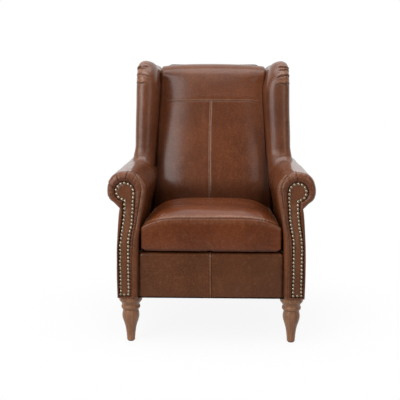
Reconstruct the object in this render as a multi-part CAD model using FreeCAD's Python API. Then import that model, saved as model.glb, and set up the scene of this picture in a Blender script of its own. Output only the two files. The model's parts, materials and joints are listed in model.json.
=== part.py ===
"""A wingback armchair with scrolled arms, a loose box cushion and turned front legs.

The chair is built the way an upholsterer builds one: a screwed hardwood and plywood frame, zigzag seat
springs and elastic back webbing, shaped foam, and separate leather covers, with nail-trimmed facings on the
arm fronts. Millimetres, +Z up, the front faces -Y, and left and right are as seen from the front: right is +X.
The origin is on the floor, under the middle of the chair's box. Each named piece is one STEP file.
"""

import FreeCAD
import Part
import math
import os

V = FreeCAD.Vector
OUT = "parts"

# ------------------------------------------------------------------ driving sizes
# overall
WIDTH = 780.0  # over the scrolled arms
HEIGHT = 1090.0  # to the top of the wings
DEPTH = 840.0  # arm front to the top of the back
LEG_HEIGHT = 180.0  # floor to the underside

# skins, clearances and stock
LEATHER = 2.0  # upholstery leather with its backing
SOFT_GAP = 0.4  # between soft pieces that touch on the real chair
RUN_GAP = 0.1  # bolts, pins and tee nuts in their holes
DUST_CLOTH = 1.2
PLYWOOD = 18.0

# arms
ARM_TOP = 664.5
SCROLL_RADIUS = 73.5
BODY_WIDTH = 714.0  # over the side panels, under the scrolls
SEAT_OPENING = 554.0  # between the arms, low down
SIDE_TUCK = 2.0  # how far the side panel draws in at the bottom edge and the top
NOTCH_BELOW_SCROLL = 62.0  # scroll centre down to where the side panel starts
NOTCH_INSET = 13.5
WAIST_DEPTH = 20.0  # how far the arm's inner face leans in just under the scroll
ARM_FOAM = 24.0
BOARD_INSET = 6.0  # arm front board's edge inside the cover's surface
ARM_RAIL_INNER = 272.0
ARM_RAIL_OUTER = 338.0
ARM_RAIL_FOOT = 548.0
ARM_RAIL_HEIGHT = 22.0
ARM_SCROLL_FROM = -20.0  # the round part of the scroll, in degrees from straight outward
ARM_SCROLL_TO = 192.0
EDGE_ROLL_DEPTH = 12.0  # the padded border round each arm front
EDGE_ROLL_ROUND = 4.0

# nail-trimmed facings
FACING_THICKNESS = 8.0
FACING_SETBACK = 4.0  # facing surface behind the border's front
NAIL_RADIUS = 6.0
NAIL_RISE = 3.6
NAIL_SHANK_RADIUS = 0.9
NAIL_SHANK_LENGTH = 13.0
NAIL_PITCH = 14.5
FACING_MARGIN = 6.5  # nail centres to the facing's edge
NAIL_SCROLL_RADIUS = 31.5
NAIL_LINE_OUTER = 343.0  # nail line by the side panel, low down
NAIL_LINE_INNER = 312.5

# back and wings
BACK_RAKE = 10.0  # degrees, outside back
INSIDE_RAKE = 15.9  # degrees, inside back
SEAT_DEPTH = 524.0  # arm front to the inside back at cushion height
BACK_TOP = 1078.0
BACK_TOP_ROUND = 74.0
BACK_SIDE_ROUND = 42.0
POST_THICKNESS = 30.0
POST_DEPTH = 70.0
POST_TOP = 1046.0
CROSS_RAIL = 28.0
TOP_RAIL_HEIGHT = 70.0
LUMBAR_RAIL_HEIGHT = 60.0
LUMBAR_RAIL_FOOT = 400.0
WING_LEAN = 3.2  # degrees, inwards towards the top
WING_OUTER = 345.0  # outer face where the wing meets the arm
WING_INNER = 250.0
WING_SETBACK = 478.0  # arm front to the wing's front edge, low down
WING_FRONT_LEAN = 14.0  # how much further back the wing's front edge is near its top
WING_CORNER = 102.0  # radius of the top front corner
WING_TOP_FALL = 16.0  # from the wing's top to its rear end
WING_SWOOP = 62.0  # radius of the curve from the wing's front edge down onto the arm
WING_TOE = 6.0  # how far that curve's foot sinks into the arm
WING_ROUND_OUTER = 18.0
WING_ROUND_INNER = 44.0
WING_PAD_OUTER = 12.0  # cover and wadding outside the wing board
WING_BOARD_MARGIN = 27.0
STRAP_FIRST = 525.0  # height of the lowest strap's middle
STRAP_SPACING = 103.0
STRAP_WIDTH = 50.0
STRAP_THICKNESS = 2.0
STRAP_COUNT = 5

# seat
RAIL_SETBACK = 15.0  # front rail cover behind the arm fronts
RAIL_TOP = 354.0
FRONT_RAIL_THICKNESS = 28.0
RAIL_HEIGHT = 146.0
SIDE_RAIL_THICKNESS = 25.0
SIDE_RAIL_HEIGHT = 115.0
INSIDE_ARM_TUCK = 30.0  # how far the inside arm runs down past the springs
SIDE_RAIL_OUTER = 350.0
FRONT_POST_INNER = 280.0
FRONT_POST_DEPTH = 46.0
RAIL_TOP_ROUND = 14.0
RAIL_COVER_DEPTH = 60.0  # how far the front rail's cover runs back over the deck
DECK_CLOTH = 1.2
SPRING_WIRE = 3.8
SPRING_COUNT = 5
SPRING_SPACING = 104.0
SPRING_WIDTH = 46.0
SPRING_PITCH = 46.0
CLIP_LENGTH = 34.0

# seat cushion
CUSHION_FRONT_WIDTH = 526.0
CUSHION_REAR_WIDTH = 500.0
CUSHION_SETBACK = 3.0  # cushion front behind the arm fronts
CUSHION_REAR_GAP = 14.0  # cushion back to the inside back, room for the zip
CUSHION_EDGE = 474.0  # height of the top seam
CUSHION_CROWN = 502.0  # height of the crown's middle
CUSHION_ROUND = 9.0
ZIP_LENGTH = 420.0
ZIP_Z = 414.0
ZIP_TAPE_WIDTH = 28.0
ZIP_TAPE = 1.0
ZIP_TEETH_WIDTH = 5.0
ZIP_TEETH = 1.8
SLIDER_LENGTH = 14.0
SLIDER_WIDTH = 10.0
SLIDER_WALL = 1.4
SLIDER_GAP = 0.4
PULL_LENGTH = 24.0
PULL_WIDTH = 6.0
PULL_THICKNESS = 1.4

# legs
LEG_X = 310.0
LEG_SETBACK = 50.0  # arm front to the front leg's axis
LEG_CAP_RADIUS = 44.5
LEG_FOOT_RADIUS = 15.2
REAR_LEG_X = 322.0
REAR_LEG_TOP = 46.0
REAR_LEG_FOOT = 28.0
REAR_LEG_SPLAY = 52.0
REAR_LEG_SETIN = 39.0  # outside back to the rear leg's axis at the top
GLIDE_HEIGHT = 4.0
GLIDE_RADIUS = 11.5
GLIDE_PIN_RADIUS = 1.5
GLIDE_PIN_LENGTH = 14.0
BOLT_RADIUS = 4.0
BOLT_IN_LEG = 32.0
BOLT_IN_FRAME = 30.0
INSERT_RADIUS = 6.5
INSERT_LENGTH = 20.0
BLOCK_HEIGHT = 44.0
BLOCK_SIZE = 62.0
SCREW_RADIUS = 2.6
SCREW_HEAD_RADIUS = 5.0
SCREW_HEAD_HEIGHT = 3.5
SCREW_LENGTH = 50.0
DOWEL_RADIUS = 4.0
DOWEL_LENGTH = 44.0

# ------------------------------------------------------------------ worked out from them
FRONT_Y = -DEPTH / 2
REAR_Y = DEPTH / 2
BODY_Z = LEG_HEIGHT + DUST_CLOTH  # underside of the covers and the frame
BODY_HALF = BODY_WIDTH / 2
SEAT_HALF = SEAT_OPENING / 2
SCROLL_X = WIDTH / 2 - SCROLL_RADIUS
SCROLL_Z = ARM_TOP - SCROLL_RADIUS
NOTCH_Z = SCROLL_Z - NOTCH_BELOW_SCROLL
BOARD_FRONT_Y = FRONT_Y + EDGE_ROLL_DEPTH
FACING_Y = FRONT_Y + FACING_SETBACK
BACK_SLOPE = math.tan(math.radians(BACK_RAKE))
INSIDE_SLOPE = math.tan(math.radians(INSIDE_RAKE))
REAR_CORNER_Z = BACK_TOP  # where the outside back meets the top
COVER_ROOM = LEATHER + 2.0  # outside back panel: leather over a stiff liner
RAIL_FRONT_Y = FRONT_Y + RAIL_SETBACK
INSIDE_BACK_Y = FRONT_Y + SEAT_DEPTH
CUSHION_FRONT_Y = FRONT_Y + CUSHION_SETBACK
CUSHION_REAR_Y = INSIDE_BACK_Y - CUSHION_REAR_GAP
CUSHION_BOTTOM = RAIL_TOP + SOFT_GAP
WING_FRONT_Y = FRONT_Y + WING_SETBACK
WING_PIVOT = V(WING_OUTER, 0, ARM_TOP)
LEAN_ANGLE = math.radians(WING_LEAN)
WING_TOP = HEIGHT + WING_ROUND_OUTER * math.sin(LEAN_ANGLE) + (HEIGHT - ARM_TOP) * (1 - math.cos(LEAN_ANGLE))
LEAN_SLOPE = math.tan(LEAN_ANGLE)
POST_OUTER = WING_OUTER - (WING_PAD_OUTER + PLYWOOD) / math.cos(LEAN_ANGLE)
POST_INNER = POST_OUTER - POST_THICKNESS
BOARD_REAR_Y = BOARD_FRONT_Y + PLYWOOD
SIDE_RAIL_INNER = SIDE_RAIL_OUTER - SIDE_RAIL_THICKNESS
RAIL_WOOD_TOP = BODY_Z + RAIL_HEIGHT
FRONT_RAIL_REAR_Y = BOARD_REAR_Y + FRONT_RAIL_THICKNESS
SPRING_Z = RAIL_WOOD_TOP + SPRING_WIRE / 2 + 1.2
LEG_Y = FRONT_Y + LEG_SETBACK
FAR = 2000.0


def rear_y(z, inset=0.0):
    """Y of the outside back's surface at a height, moved forward by an inset."""
    return REAR_Y - (REAR_CORNER_Z - z) * BACK_SLOPE - inset


def post_front_y(z):
    """Y of the front faces of the back posts at a height."""
    return rear_y(z, COVER_ROOM + POST_DEPTH)


# ------------------------------------------------------------------ small builders
def box(x0, x1, y0, y1, z0, z1):
    """A block between two corners."""
    return Part.makeBox(x1 - x0, y1 - y0, z1 - z0, V(x0, y0, z0))


def prism(points, direction):
    """A straight-sided solid from a closed polygon and an extrusion vector."""
    return Part.Face(Part.makePolygon(points + [points[0]])).extrude(direction)


def cylinder(radius, length, base, direction=V(0, 0, 1)):
    """A round bar."""
    return Part.makeCylinder(radius, length, base, direction)


def solids_of(shape, smallest=500.0):
    """The solids of a cut shape, without offcuts under a given volume."""
    kept = [s for s in shape.Solids if s.Volume > smallest]
    return Part.makeCompound(kept) if len(kept) > 1 else kept[0]


def mirrored(shape):
    """The same piece on the other side of the chair."""
    return shape.mirror(V(0, 0, 0), V(1, 0, 0))


def lean(shape):
    """Leans a piece that was built upright inwards with the wing."""
    leaned = shape.copy()
    leaned.rotate(WING_PIVOT, V(0, 1, 0), -WING_LEAN)
    return leaned


def revolved(profile, x, y):
    """A turned solid about the vertical line through x, y. The profile holds edges in the XZ plane."""
    turned = Part.Face(Part.Wire(profile)).revolve(V(0, 0, 0), V(0, 0, 1), 360)
    turned.translate(V(x, y, 0))
    return turned


def polyline(points):
    """The straight edges through a list of points."""
    return [Part.LineSegment(a, b).toShape() for a, b in zip(points, points[1:])]


def rounded_wire(points, radii):
    """A closed polygon with some corners, named by their place in the list, turned into tangent arcs."""
    edges = []
    first = last = None
    count = len(points)
    for i, corner in enumerate(points):
        enter = leave = corner
        if i in radii:
            back = (points[i - 1] - corner).normalize()
            ahead = (points[(i + 1) % count] - corner).normalize()
            half = back.getAngle(ahead) / 2
            inward = (back + ahead).normalize()
            enter = corner + back * (radii[i] / math.tan(half))
            leave = corner + ahead * (radii[i] / math.tan(half))
            middle = corner + inward * (radii[i] / math.sin(half) - radii[i])
        if last is not None:
            edges.append(Part.LineSegment(last, enter).toShape())
        if i in radii:
            edges.append(Part.Arc(enter, middle, leave).toShape())
        first = first or enter
        last = leave
    edges.append(Part.LineSegment(last, first).toShape())
    return Part.Wire(edges)


def write(name, shape):
    """Writes one named piece."""
    shape.exportStep(os.path.join(OUT, name + ".step"))
    print(f"{name:26s} solids {len(shape.Solids):3d}  volume {shape.Volume / 1000:10.1f} cm3")


# ------------------------------------------------------------------ arm section
def arm_wire(inset, y=0.0):
    """The arm's section in the XZ plane: side panel, scroll, waist and inner face, moved in by an inset."""
    def p(x, z):
        return V(x, y, z)

    radius = SCROLL_RADIUS - inset

    def on_scroll(degrees):
        a = math.radians(degrees)
        return p(SCROLL_X + radius * math.cos(a), SCROLL_Z + radius * math.sin(a))

    bottom = BODY_Z
    outer = BODY_HALF - inset
    inner = SEAT_HALF + inset
    low = p(outer - SIDE_TUCK, bottom)
    bulge = p(outer, bottom + 0.3 * (NOTCH_Z - bottom))
    notch = p(outer - NOTCH_INSET, NOTCH_Z + 0.4 * inset)
    under = p(SCROLL_X + 0.7 * radius, SCROLL_Z - 0.585 * radius)
    waist_top = p(inner - WAIST_DEPTH, SCROLL_Z - SCROLL_RADIUS)
    waist_mid = p(inner - WAIST_DEPTH / 2, SCROLL_Z - 1.76 * SCROLL_RADIUS)
    waist_low = p(inner - WAIST_DEPTH / 4, SCROLL_Z - 2.52 * SCROLL_RADIUS)
    foot = p(inner, bottom)
    edges = [
        Part.Arc(low, bulge, notch).toShape(),
        Part.Arc(notch, under, on_scroll(ARM_SCROLL_FROM)).toShape(),
        Part.Arc(on_scroll(ARM_SCROLL_FROM), on_scroll(90), on_scroll(ARM_SCROLL_TO)).toShape(),
        Part.LineSegment(on_scroll(ARM_SCROLL_TO), waist_top).toShape(),
        Part.Arc(waist_top, waist_mid, waist_low).toShape(),
        Part.LineSegment(waist_low, foot).toShape(),
        Part.LineSegment(foot, low).toShape(),
    ]
    return Part.Wire(edges)


def arm_bar(inset, y0, y1):
    """The arm's section extruded along the chair."""
    return Part.Face(arm_wire(inset, y0)).extrude(V(0, y1 - y0, 0))


def behind_back(inset):
    """Everything behind the outside back's surface, for trimming pieces that run to the back."""
    points = [
        V(-FAR, rear_y(-FAR, inset), -FAR),
        V(-FAR, rear_y(FAR, inset), FAR),
        V(-FAR, FAR, FAR),
        V(-FAR, FAR, -FAR),
    ]
    return prism(points, V(2 * FAR, 0, 0))


def trimmed_arm(inset, y0=BOARD_FRONT_Y, rear_inset=COVER_ROOM):
    """The arm's section from a front plane to just inside the outside back."""
    return arm_bar(inset, y0, REAR_Y).cut(behind_back(rear_inset))


# ------------------------------------------------------------------ nail line and facing
def nail_sides(spread):
    """Points up the outer nail line and down the inner one, moved apart by a spread."""
    drop = SCROLL_Z
    outer_low = NAIL_LINE_OUTER + spread
    inner_low = NAIL_LINE_INNER - spread
    neck = NAIL_LINE_OUTER - 19.0 + spread
    throat = NAIL_LINE_INNER - 20.5 - spread
    outer = [
        V(outer_low, 0, drop - 209),
        V(outer_low - 6.0, 0, drop - 164),
        V(outer_low - 14.5, 0, drop - 113),
        V(neck, 0, drop - 72),
    ]
    inner = [
        V(throat, 0, drop - 22),
        V(throat + 3.0, 0, drop - 75),
        V(throat + 7.5, 0, drop - 125),
        V(inner_low - 2.5, 0, drop - 179),
        V(inner_low, 0, drop - 225),
    ]
    return outer, inner


def facing_edges(spread):
    """Edges of the keyhole-shaped nail line, widened by a spread, and without its bottom edge."""
    outer, inner = nail_sides(spread)
    radius = NAIL_SCROLL_RADIUS + spread
    centre = V(NAIL_LINE_OUTER - 19.5, 0, SCROLL_Z - 1.0)
    bottom = BODY_Z + 12.0 - spread
    neck_x = outer[-1].x
    reach = math.sqrt(radius**2 - (neck_x - centre.x) ** 2)
    neck_top = V(neck_x, 0, centre.z - reach)
    over = V(centre.x + radius * math.cos(0.9), 0, centre.z + radius * math.sin(0.9))
    top_end = V(centre.x - radius, 0, centre.z)
    outer_curve = Part.BSplineCurve()
    outer_curve.interpolate(outer)
    inner_curve = Part.BSplineCurve()
    inner_curve.interpolate([top_end] + inner)
    return [
        Part.LineSegment(V(outer[0].x, 0, bottom), outer[0]).toShape(),
        outer_curve.toShape(),
        Part.LineSegment(outer[-1], neck_top).toShape(),
        Part.Arc(neck_top, over, top_end).toShape(),
        inner_curve.toShape(),
        Part.LineSegment(inner[-1], V(inner[-1].x, 0, bottom)).toShape(),
    ]


def facing_bar(spread, y0, y1):
    """The facing's outline extruded along the chair."""
    edges = facing_edges(spread)
    edges.append(Part.LineSegment(edges[-1].Vertexes[-1].Point, edges[0].Vertexes[0].Point).toShape())
    face = Part.Face(Part.Wire(edges))
    face.translate(V(0, y0, 0))
    return face.extrude(V(0, y1 - y0, 0))


def nail_points():
    """Evenly spaced nail centres round the facing, bottom row included."""
    edges = facing_edges(0.0)
    edges.append(Part.LineSegment(edges[-1].Vertexes[-1].Point, edges[0].Vertexes[0].Point).toShape())
    wire = Part.Wire(edges)
    count = int(round(wire.Length / NAIL_PITCH))
    return wire.discretize(Number=count + 1)[:-1]


def nail(point):
    """A domed upholstery nail with its shank, driven in along +Y."""
    sphere_radius = (NAIL_RADIUS**2 + NAIL_RISE**2) / (2 * NAIL_RISE)
    centre = V(point.x, FACING_Y - NAIL_RISE + sphere_radius, point.z)
    dome = Part.makeSphere(sphere_radius, centre)
    room = box(
        point.x - NAIL_RADIUS - 1, point.x + NAIL_RADIUS + 1, FACING_Y - NAIL_RISE - 1, FACING_Y,
        point.z - NAIL_RADIUS - 1, point.z + NAIL_RADIUS + 1,
    )
    shank = cylinder(NAIL_SHANK_RADIUS, NAIL_SHANK_LENGTH, V(point.x, FACING_Y - 0.5, point.z), V(0, 1, 0))
    return dome.common(room).fuse(shank)


# ------------------------------------------------------------------ leaning and raked stock
def lean_shift(z):
    """How far the leaning wing and post have moved sideways at a height."""
    return -(z - ARM_TOP) * LEAN_SLOPE


def skewed_bar(x0, x1, y_front, y_rear, z0, z1):
    """A bar that leans with the wing; y_front and y_rear are functions of height."""
    def corners(z):
        shift = lean_shift(z)
        return [
            V(x0 + shift, y_front(z), z),
            V(x1 + shift, y_front(z), z),
            V(x1 + shift, y_rear(z), z),
            V(x0 + shift, y_rear(z), z),
        ]

    low = corners(z0)
    high = corners(z1)
    faces = [low, high]
    for i in range(4):
        j = (i + 1) % 4
        faces.append([low[i], low[j], high[j], high[i]])
    made = [Part.Face(Part.makePolygon(points + [points[0]])) for points in faces]
    solid = Part.Solid(Part.Shell(made))
    if solid.Volume < 0:
        solid.reverse()
    return solid


def raked_board(half_width, y_front, thickness, z0, z1):
    """A board across the chair whose front face follows a sloping line."""
    points = [
        V(-half_width, y_front(z0), z0),
        V(-half_width, y_front(z1), z1),
        V(-half_width, y_front(z1) + thickness, z1),
        V(-half_width, y_front(z0) + thickness, z0),
    ]
    return prism(points, V(2 * half_width, 0, 0))


def behind_posts(gap, z_top=FAR):
    """Everything behind the front faces of the back posts, below a height."""
    points = [
        V(-FAR, post_front_y(-FAR) - gap, -FAR),
        V(-FAR, post_front_y(z_top) - gap, z_top),
        V(-FAR, FAR, z_top),
        V(-FAR, FAR, -FAR),
    ]
    return prism(points, V(2 * FAR, 0, 0))


def back_cavity(gap):
    """The open frame space behind the webbing, between the wing boards and under the top rail's top."""
    half = skewed_bar(
        -120.0, POST_OUTER, lambda z: post_front_y(z) - gap, lambda z: rear_y(z, -30.0),
        BODY_Z - 20.0, POST_TOP + gap,
    )
    return half.fuse(mirrored(half))


# ------------------------------------------------------------------ wing
def wing_wire(inset, x, low_z=SCROLL_Z):
    """The wing's side outline, upright, at one X, moved in by an inset. It runs past the outside back."""
    front = WING_FRONT_Y + inset
    top = WING_TOP - inset
    toe_z = ARM_TOP - WING_TOE - inset
    rear_top = top - WING_TOP_FALL
    points = [
        V(x, WING_FRONT_Y - WING_SWOOP, low_z),
        V(x, WING_FRONT_Y - WING_SWOOP, toe_z),
        V(x, front, toe_z),
        V(x, front + WING_FRONT_LEAN, top),
        V(x, rear_y(rear_top, -30.0), rear_top),
        V(x, rear_y(low_z, -30.0), low_z),
    ]
    return rounded_wire(points, {2: WING_SWOOP + inset, 3: WING_CORNER - inset})


def is_padded_edge(edge, x):
    """True for an edge of the wing's side at x that carries the padded front and top roll."""
    bounds = edge.BoundBox
    on_side = abs(bounds.XMin - x) < 0.01 and abs(bounds.XMax - x) < 0.01
    above_arm = bounds.ZMax > ARM_TOP + 2.0
    starts_low = bounds.ZMin < ARM_TOP - 10.0
    return on_side and above_arm and not starts_low


def wing_solid(inset):
    """The padded wing, leaning inwards, past the arm below it and past the outside back."""
    x0 = WING_INNER + inset
    x1 = WING_OUTER - inset
    solid = Part.Face(wing_wire(inset, x0)).extrude(V(x1 - x0, 0, 0))
    for x, radius in ((x0, WING_ROUND_INNER - inset), (x1, WING_ROUND_OUTER - inset)):
        solid = solid.makeFillet(radius, [e for e in solid.Edges if is_padded_edge(e, x)])
    return lean(solid)


def wing_board_solid():
    """The plywood wing board, standing on the arm rail."""
    x1 = WING_OUTER - WING_PAD_OUTER
    face = Part.Face(wing_wire(WING_BOARD_MARGIN, x1 - PLYWOOD, ARM_RAIL_FOOT))
    board = lean(face.extrude(V(PLYWOOD, 0, 0)))
    under = box(0, FAR, -FAR, FAR, -FAR, ARM_RAIL_FOOT + ARM_RAIL_HEIGHT)
    return board.cut(under).cut(behind_back(COVER_ROOM))


# ------------------------------------------------------------------ inside back
def wing_inner_x(z, gap=0.0):
    """X of the wing's flat inner face at a height, less a gap."""
    reach = (WING_OUTER - WING_INNER) / math.cos(LEAN_ANGLE)
    return WING_OUTER - reach + lean_shift(z) - gap


def inside_y(z, inset=0.0):
    """Y of the inside back's surface: upright behind the cushion, raked above it."""
    return INSIDE_BACK_Y + max(0.0, z - CUSHION_CROWN) * INSIDE_SLOPE + inset


def back_solid(inset):
    """The padded inside back, from the deck over the top and past the outside back."""
    top = BACK_TOP - inset
    low = RAIL_TOP + SOFT_GAP
    points = [
        V(-400, inside_y(low, inset), low),
        V(-400, inside_y(CUSHION_CROWN, inset), CUSHION_CROWN),
        V(-400, inside_y(top, inset), top),
        V(-400, REAR_Y + 80, top),
        V(-400, REAR_Y + 80, low),
    ]
    slab = prism(points, V(800, 0, 0))
    sides = []
    for z in (low - 50.0, top + 50.0):
        sides.append(V(-wing_inner_x(z, SOFT_GAP + inset), -FAR, z))
    for z in (top + 50.0, low - 50.0):
        sides.append(V(wing_inner_x(z, SOFT_GAP + inset), -FAR, z))
    solid = slab.common(prism(sides, V(0, 3 * FAR, 0)))
    top_edges = [
        e for e in solid.Edges
        if abs(e.BoundBox.ZMin - top) < 0.1 and e.BoundBox.XLength > 200 and e.BoundBox.YMax < REAR_Y
    ]
    solid = solid.makeFillet(BACK_TOP_ROUND - inset, top_edges)
    side_edges = []
    for edge in solid.Edges:
        bounds = edge.BoundBox
        rises = bounds.ZMin > low - 1 and bounds.ZMax > low + 20 and abs(edge.CenterOfMass.x) > 150
        if rises and bounds.YMax < REAR_Y - 40 and bounds.YLength < 260:
            side_edges.append(edge)
    return solid.makeFillet(BACK_SIDE_ROUND - inset, side_edges)


# ------------------------------------------------------------------ seat cushion
def cushion_solid(inset):
    """The box cushion: a tapered block with a crowned top and softened edges."""
    front = CUSHION_FRONT_Y + inset
    rear = CUSHION_REAR_Y - inset
    low = CUSHION_BOTTOM + inset
    front_half = CUSHION_FRONT_WIDTH / 2 - inset
    rear_half = CUSHION_REAR_WIDTH / 2 - inset
    points = [
        V(-front_half, front, low),
        V(front_half, front, low),
        V(rear_half, rear, low),
        V(-rear_half, rear, low),
    ]
    block = prism(points, V(0, 0, FAR))
    rise = CUSHION_CROWN - CUSHION_EDGE
    reach = math.hypot(CUSHION_FRONT_WIDTH / 2, (CUSHION_REAR_Y - CUSHION_FRONT_Y) / 2)
    radius = (reach**2 + rise**2) / (2 * rise)
    middle_y = (CUSHION_REAR_Y + CUSHION_FRONT_Y) / 2
    dome = Part.makeSphere(radius - inset, V(0, middle_y, CUSHION_CROWN - radius))
    solid = block.common(dome)
    return solid.makeFillet(CUSHION_ROUND - inset, solid.Edges)


def zip_tape():
    """The closed zip's tape and teeth on the cushion's rear border."""
    y = CUSHION_REAR_Y
    tape = box(-ZIP_LENGTH / 2, ZIP_LENGTH / 2, y, y + ZIP_TAPE, ZIP_Z - ZIP_TAPE_WIDTH / 2, ZIP_Z + ZIP_TAPE_WIDTH / 2)
    teeth = box(
        -ZIP_LENGTH / 2, ZIP_LENGTH / 2, y + ZIP_TAPE - 0.2, y + ZIP_TAPE + ZIP_TEETH,
        ZIP_Z - ZIP_TEETH_WIDTH / 2, ZIP_Z + ZIP_TEETH_WIDTH / 2,
    )
    return tape.fuse(teeth).removeSplitter()


def zip_slider():
    """The slider on the teeth, at the closed end, with its pull hanging down."""
    y0 = CUSHION_REAR_Y + ZIP_TAPE + SLIDER_GAP
    y1 = CUSHION_REAR_Y + ZIP_TAPE + ZIP_TEETH + SLIDER_GAP + SLIDER_WALL
    x0 = -ZIP_LENGTH / 2 + 2.0
    x1 = x0 + SLIDER_LENGTH
    body = box(x0, x1, y0, y1, ZIP_Z - SLIDER_WIDTH / 2, ZIP_Z + SLIDER_WIDTH / 2)
    channel = box(
        x0 - 1, x1 + 1, y0 - 1, y1 - SLIDER_WALL,
        ZIP_Z - ZIP_TEETH_WIDTH / 2 - SLIDER_GAP, ZIP_Z + ZIP_TEETH_WIDTH / 2 + SLIDER_GAP,
    )
    pull_x = (x0 + x1) / 2
    pull = box(
        pull_x - PULL_WIDTH / 2, pull_x + PULL_WIDTH / 2, y1 - 0.2, y1 + PULL_THICKNESS,
        ZIP_Z - PULL_LENGTH, ZIP_Z + 3.0,
    )
    return body.cut(channel).fuse(pull)


# ------------------------------------------------------------------ legs and fixings
def front_leg():
    """A turned front leg: cap, ogee, bead and a tapering bulb."""
    top = LEG_HEIGHT
    cap_foot = V(LEG_CAP_RADIUS, 0, top - 14.0)
    ogee = Part.BSplineCurve()
    ogee.interpolate([
        cap_foot,
        V(LEG_CAP_RADIUS - 3.2, 0, top - 20.5),
        V(LEG_CAP_RADIUS - 8.8, 0, top - 27.5),
        V(34.0, 0, top - 34.0),
    ])
    bead = Part.Arc(V(34.0, 0, top - 35.5), V(36.6, 0, top - 44.0), V(31.5, 0, top - 52.0))
    body = Part.BSplineCurve()
    body.interpolate([
        V(29.6, 0, 125.5),
        V(31.2, 0, 118.0),
        V(33.0, 0, 105.0),
        V(29.4, 0, 84.0),
        V(22.4, 0, 62.0),
        V(18.6, 0, 41.0),
        V(16.4, 0, 20.0),
        V(LEG_FOOT_RADIUS, 0, GLIDE_HEIGHT),
    ])
    profile = polyline([V(0, 0, top), V(LEG_CAP_RADIUS, 0, top), cap_foot])
    profile.append(ogee.toShape())
    profile += polyline([V(34.0, 0, top - 34.0), V(34.0, 0, top - 35.5)])
    profile.append(bead.toShape())
    profile += polyline([V(31.5, 0, top - 52.0), V(29.6, 0, 125.5)])
    profile.append(body.toShape())
    profile += polyline([V(LEG_FOOT_RADIUS, 0, GLIDE_HEIGHT), V(0, 0, GLIDE_HEIGHT), V(0, 0, top)])
    return revolved(profile, LEG_X, LEG_Y)


REAR_LEG_Y = rear_y(LEG_HEIGHT, REAR_LEG_SETIN)


def rear_leg():
    """A square rear leg, tapered and splayed back."""
    def square(z, size, y):
        half = size / 2
        corners = [(-1, -1), (1, -1), (1, 1), (-1, 1), (-1, -1)]
        return Part.makePolygon([V(REAR_LEG_X + a * half, y + b * half, z) for a, b in corners])

    high = square(LEG_HEIGHT, REAR_LEG_TOP, REAR_LEG_Y)
    low = square(GLIDE_HEIGHT, REAR_LEG_FOOT, REAR_LEG_Y + REAR_LEG_SPLAY)
    return Part.makeLoft([low, high], True, True)


def leg_spots():
    """The bolt axis at the top of each right-hand leg."""
    return [(LEG_X, LEG_Y), (REAR_LEG_X, REAR_LEG_Y)]


def foot_spots():
    """The glide's axis under each right-hand leg."""
    return [(LEG_X, LEG_Y), (REAR_LEG_X, REAR_LEG_Y + REAR_LEG_SPLAY)]


def bolts(extra=0.0):
    """Hanger bolts of the right-hand legs, or the room for them."""
    length = BOLT_IN_LEG + BOLT_IN_FRAME + 2 * extra
    return [
        cylinder(BOLT_RADIUS + extra, length, V(x, y, LEG_HEIGHT - BOLT_IN_LEG - extra))
        for x, y in leg_spots()
    ]


def inserts(extra=0.0):
    """Threaded inserts in the frame over the right-hand legs, or the room for them."""
    made = []
    for x, y in leg_spots():
        outer = cylinder(INSERT_RADIUS + extra, INSERT_LENGTH + extra, V(x, y, BODY_Z))
        made.append(outer if extra else outer.cut(cylinder(BOLT_RADIUS + RUN_GAP, FAR, V(x, y, 0))))
    return made


def glides(extra=0.0):
    """Nylon glides with their pins, or the room for the pins."""
    made = []
    for x, y in foot_spots():
        pin = cylinder(GLIDE_PIN_RADIUS + extra, GLIDE_PIN_LENGTH + extra, V(x, y, GLIDE_HEIGHT - 0.5))
        disc = cylinder(GLIDE_RADIUS, GLIDE_HEIGHT, V(x, y, 0))
        made.append(pin if extra else disc.fuse(pin))
    return made


def screw_spots():
    """Head position and direction of the right-hand frame screws."""
    board = V(0, 1, 0)
    side = V(-1, 0, 0)
    wing = V(-1, 0, 0)
    spots = [
        (V(FRONT_POST_INNER + 16, BOARD_FRONT_Y, 250), board),
        (V(FRONT_POST_INNER + 16, BOARD_FRONT_Y, 310), board),
        (V(ARM_RAIL_INNER + 13, BOARD_FRONT_Y, ARM_RAIL_FOOT + ARM_RAIL_HEIGHT / 2), board),
        (V(SIDE_RAIL_OUTER, BOARD_REAR_Y + 24, 225), side),
        (V(SIDE_RAIL_OUTER, BOARD_REAR_Y + 24, 282), side),
    ]
    for z in (640.0, 780.0, 920.0):
        x = WING_OUTER - WING_PAD_OUTER / math.cos(LEAN_ANGLE) + lean_shift(z)
        spots.append((V(x + 0.4, post_front_y(z) + POST_DEPTH / 2, z), wing))
    return spots


def screw(spot, direction, extra=0.0):
    """A countersunk screw, or the room for it."""
    head = cylinder(SCREW_HEAD_RADIUS + extra, SCREW_HEAD_HEIGHT + extra, spot, direction)
    length = SCREW_LENGTH if abs(direction.y) > 0.5 or spot.x > 345 else 40.0
    shank = cylinder(SCREW_RADIUS + extra, length + extra, spot, direction)
    if extra:
        back = direction * -3.0
        head = head.fuse(cylinder(SCREW_HEAD_RADIUS + extra, 3.0, spot + back, direction))
    return head.fuse(shank)


def dowel_spots():
    """Middle and direction of the dowels on the right-hand side."""
    across = V(1, 0, 0)
    along = V(0, 1, 0)
    rail_y = BOARD_REAR_Y + FRONT_RAIL_THICKNESS / 2
    spots = [
        (V(FRONT_POST_INNER, rail_y, 222), across),
        (V(FRONT_POST_INNER, rail_y, 290), across),
    ]
    for z in (222.0, 270.0):
        spots.append((V(SIDE_RAIL_INNER + 6.5, post_front_y(z), z), along))
    levels = (215.0, 290.0, LUMBAR_RAIL_FOOT + LUMBAR_RAIL_HEIGHT / 2, POST_TOP - 52.0, POST_TOP - 18.0)
    for z in levels:
        spots.append((V(POST_INNER + lean_shift(z) - 3, post_front_y(z) + CROSS_RAIL / 2, z), across))
    return spots


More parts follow.
